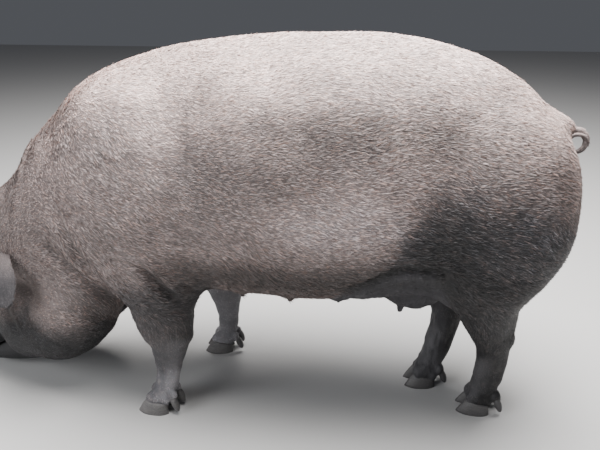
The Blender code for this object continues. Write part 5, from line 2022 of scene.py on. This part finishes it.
@dataclass
class Claws:
    """Main claws and dewclaws of every foot, in horn."""

    sow: Anatomy
    levels: int = 9
    around: int = 40
    taper: float = 0.34
    inner_share: float = 0.72
    bluntness: float = 0.82
    growth_ridge: float = 0.0004
    dewclaw_levels: int = 17
    dewclaw_around: int = 20

    def build(self) -> list[Object]:
        """Builds the sixteen claws.

        Returns:
            One object for each claw.
        """
        horn = HornFinish().material()
        made = []
        for foot in Foot:
            x, y = foot.value[:2]
            turn = self.sow.toe_out if y > 0 else -self.sow.toe_out
            place = Matrix.Translation((x, y, 0)) @ Matrix.Rotation(turn, 4, "Z")
            for side in SIDES:
                label = "outer" if (side > 0) == (y > 0) else "inner"
                for kind, build in (("claw", self.claw), ("dewclaw", self.dewclaw)):
                    node = f"{kind}_{foot.tag}_{label}"
                    points, faces = build(side)
                    points = np.array([place @ Vector(p) for p in points])
                    mud = (0.15 if foot.fore else 0.55) + (0.35 if kind == "dewclaw" else 0.0)
                    numbers = {"mud": np.full(len(points), mud)}
                    item = Mesh(f"horn_{node}", points, faces, numbers=numbers).create(self.sow)
                    item.data.materials.append(horn)
                    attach(item, "root")
                    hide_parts(node)
                    made.append(item)
        return made

    def coronet(self, x: float) -> float:
        """Height of the sloping top of the claws ahead of or behind the sole's middle."""
        middle = (self.sow.coronet_front + self.sow.coronet_heel) / 2
        slope = (self.sow.coronet_front - self.sow.coronet_heel) / self.sow.claw_length
        return middle - x * slope

    def tube(self, rings: list[list[Point]]) -> tuple[Array, Array]:
        """Joins rings of points into a closed tube with quads."""
        around = len(rings[0])
        points = np.array([p for ring in rings for p in ring])
        quads = tube_quads(len(rings), around)
        quads += [quad[::-1] for quad in cap_quads(0, around)]
        quads += cap_quads((len(rings) - 1) * around, around)
        return points, np.array(quads)

    def claw(self, side: int) -> tuple[Array, Array]:
        """One pointed hoof half with a flat sole and a sloping top.

        Args:
            side: -1 or 1, the side of the foot.

        Returns:
            Points and quads.
        """
        sow = self.sow
        rings = []
        for level in range(self.levels):
            t = level / (self.levels - 1)
            low = (1 - t) ** 3
            ring = []
            front = sow.claw_toe + 0.001 + (sow.claw_slope - 0.001) * t + 0.0015 * low
            back = sow.claw_toe + sow.claw_length - 0.003 * t
            for k in range(self.around):
                angle = 2 * math.pi * k / self.around
                along, across = math.cos(angle), math.sin(angle)
                taper = 1.0 - self.taper * max(0.0, along) ** 2
                inner = self.inner_share if across * side < 0 else 1.0
                ridge = self.growth_ridge * math.sin(t * 22) * (0 < level < self.levels - 1)
                blunt = math.copysign(abs(along) ** self.bluntness, along)
                px = (front + back) / 2 - blunt * ((back - front) / 2 + ridge)
                width = (sow.claw_width / 2 - 0.0006 * low + ridge) * taper * inner * (1 - 0.1 * t)
                ring.append((px, across * width + side * sow.claw_spacing,
                             t * (self.coronet(px) + 0.003)))
            rings.append(ring)
        return self.tube(rings)

    def dewclaw(self, side: int) -> tuple[Array, Array]:
        """One small blunt claw that points down and back behind the foot.

        Args:
            side: -1 or 1, the side of the foot.

        Returns:
            Points and quads.
        """
        sow = self.sow
        tilt = Matrix.Rotation(sow.dewclaw_tilt, 4, "Y")
        middle = Vector((sow.dewclaw_back, side * sow.claw_spacing,
                         sow.dewclaw_lift + sow.dewclaw_length / 2))
        rings = []
        for level in range(self.dewclaw_levels):
            turn = math.pi * (0.02 + 0.96 * level / (self.dewclaw_levels - 1))
            z = -math.cos(turn)
            radius = sow.dewclaw_radius * math.sin(turn) ** 0.8 * (0.86 + 0.14 * z)
            radius *= 1 + 0.02 * math.sin(level * 2.2)
            ring = []
            for k in range(self.dewclaw_around):
                angle = 2 * math.pi * k / self.dewclaw_around
                local = Vector((math.cos(angle) * radius, math.sin(angle) * radius,
                                z * sow.dewclaw_length / 2))
                ring.append(tuple(middle + tilt @ local))
            rings.append(ring)
        return self.tube(rings)


@dataclass
class Eyes:
    """Both eyeballs, set deep between the lids."""

    flesh: Flesh
    outward: Point = (-0.45, 0.88, 0.12)
    levels: int = 33
    around: int = 40
    inset: float = 0.004
    cornea_rise: float = 0.06

    def build(self) -> list[Object]:
        """Builds both eyes."""
        finish = EyeFinish().material()
        return [self.eye(name, side, finish) for name, side in (("eye_left", -1), ("eye_right", 1))]

    def eye(self, name: str, side: int, finish: Material) -> Object:
        """One ball with a raised cornea that looks outward.

        Args:
            name: The node that it stands for.
            side: -1 for the left eye and 1 for the right one.
            finish: Its material.

        Returns:
            The new object.
        """
        sow = self.flesh.sow
        look = Vector((self.outward[0], side * self.outward[1], self.outward[2])).normalized()
        turn = Vector((0, 0, 1)).rotation_difference(look).to_matrix()
        centre = Vector(self.flesh.head_point(sow.eye[0], side * (sow.eye[1] - self.inset), sow.eye[2]))
        points, gaze = [], []
        for level in range(self.levels):
            angle = math.pi * (0.004 + 0.992 * level / (self.levels - 1))
            facing = -math.cos(angle)
            raised = 1 + self.cornea_rise * max(0.0, (facing - 0.8) / 0.2)
            radius = sow.eye_radius * 0.985 * raised
            for k in range(self.around):
                around = 2 * math.pi * k / self.around
                local = Vector((math.cos(around) * math.sin(angle), math.sin(around) * math.sin(angle),
                                facing)) * radius
                points.append(tuple(centre + turn @ local))
                gaze.append(facing)
        quads = tube_quads(self.levels, self.around)
        numbers = {"gaze": np.array(gaze)}
        item = Mesh(f"ball_{name}", np.array(points), np.array(quads), numbers=numbers).create(sow)
        item.data.materials.append(finish)
        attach(item, "root")
        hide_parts(name)
        return item


@dataclass(frozen=True)
class Lamp:
    """A soft square light: where it hangs, what it faces, length of its sides, watts and tint."""

    name: str
    at: Point
    target: Point
    size: float
    power: float
    colour: Colour


@dataclass
class Studio:
    """The plain pale floor, the soft lights and the camera of the photograph's view."""

    sow: Anatomy
    camera_at: Point = (0.167, -1.3598, 1.02)
    forward: Point = (-0.11299529, 0.92027277, -0.37460659)
    lens_mm: float = 36.0
    floor_colour: Colour = (0.46, 0.455, 0.45)
    sky: Colour = (0.86, 0.9, 1.0)
    sky_strength: float = 0.1
    lamps: tuple[Lamp, ...] = (
        Lamp("overhead", (0.1, 0.15, 3.0), (0.02, 0.0, 0.4), 2.4, 480.0, (1.0, 0.985, 0.97)),
        Lamp("front fill", (-2.4, -2.2, 1.7), (-0.45, -0.15, 0.4), 2.0, 84.0, (0.96, 0.98, 1.0)),
    )

    def build(self) -> None:
        """Builds everything that isn't part of the sow."""
        self.floor()
        for lamp in self.lamps:
            self.light(lamp)
        world = bpy.data.worlds.new("studio sky")
        world.use_nodes = True
        background = world.node_tree.nodes["Background"]
        background.inputs["Color"].default_value = (*self.sky, 1.0)
        background.inputs["Strength"].default_value = self.sky_strength
        bpy.context.scene.world = world
        self.camera()

    def floor(self) -> None:
        """The floor that she stands on."""
        points = np.array([(-9, -9, 0), (9, -9, 0), (9, 9, 0), (-9, 9, 0)], float)
        item = Mesh("floor", points, np.array([(0, 1, 2, 3)])).create(self.sow)
        shader = Shader("floor")
        shader.fix(Base_Color=self.floor_colour, Roughness=0.85)
        item.data.materials.append(shader.material)

    def light(self, lamp: Lamp) -> None:
        """Hangs one lamp."""
        data = bpy.data.lights.new(lamp.name, "AREA")
        data.shape = "SQUARE"
        data.size = lamp.size
        data.energy = lamp.power
        data.color = lamp.colour
        start, end = (Vector(self.sow.place(p)) for p in (lamp.at, lamp.target))
        self.hang(data, lamp.at, end - start)

    def camera(self) -> None:
        """Places the camera at the photograph's view."""
        data = bpy.data.cameras.new("camera")
        data.lens = self.lens_mm
        data.sensor_width = 36.0
        data.clip_start = 0.05
        bpy.context.scene.camera = self.hang(data, self.camera_at, Vector(self.forward))

    def hang(self, data: ID, at: Point, ahead: Vector) -> Object:
        """Hangs a lamp or the camera at a place, turned to look ahead.

        Args:
            data: The lamp's or camera's own settings, whose name it takes.
            at: Its place in the layout.
            ahead: The way it looks.

        Returns:
            The new object.
        """
        item = bpy.data.objects.new(data.name, data)
        item.location = Vector(self.sow.place(at))
        item.rotation_euler = ahead.to_track_quat("-Z", "Y").to_euler()
        bpy.context.scene.collection.objects.link(item)
        return item


def corners(box: tuple[Vector, Vector]) -> list[list[float]]:
    """A box as plain lists of numbers."""
    return [[float(v) for v in corner] for corner in box]


def main() -> None:
    """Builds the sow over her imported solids."""
    logging.basicConfig(level=logging.INFO, format="%(message)s")
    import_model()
    sow = Anatomy()
    flesh = Flesh(sow)
    hide = Hide(flesh)
    skin = Skin(flesh, hide).build()
    for piece in skin:
        log.info("%s: %d triangles", piece.name, len(piece.triangles))
    coat = Coat(flesh, thin_out=1.0).build(skin)
    claws = Claws(sow).build()
    eyes = Eyes(flesh).build()
    Studio(sow).build()
    log.info("%d coat pieces, %d claws, %d eyes", len(coat), len(claws), len(eyes))


if __name__ == "__main__":
    main()
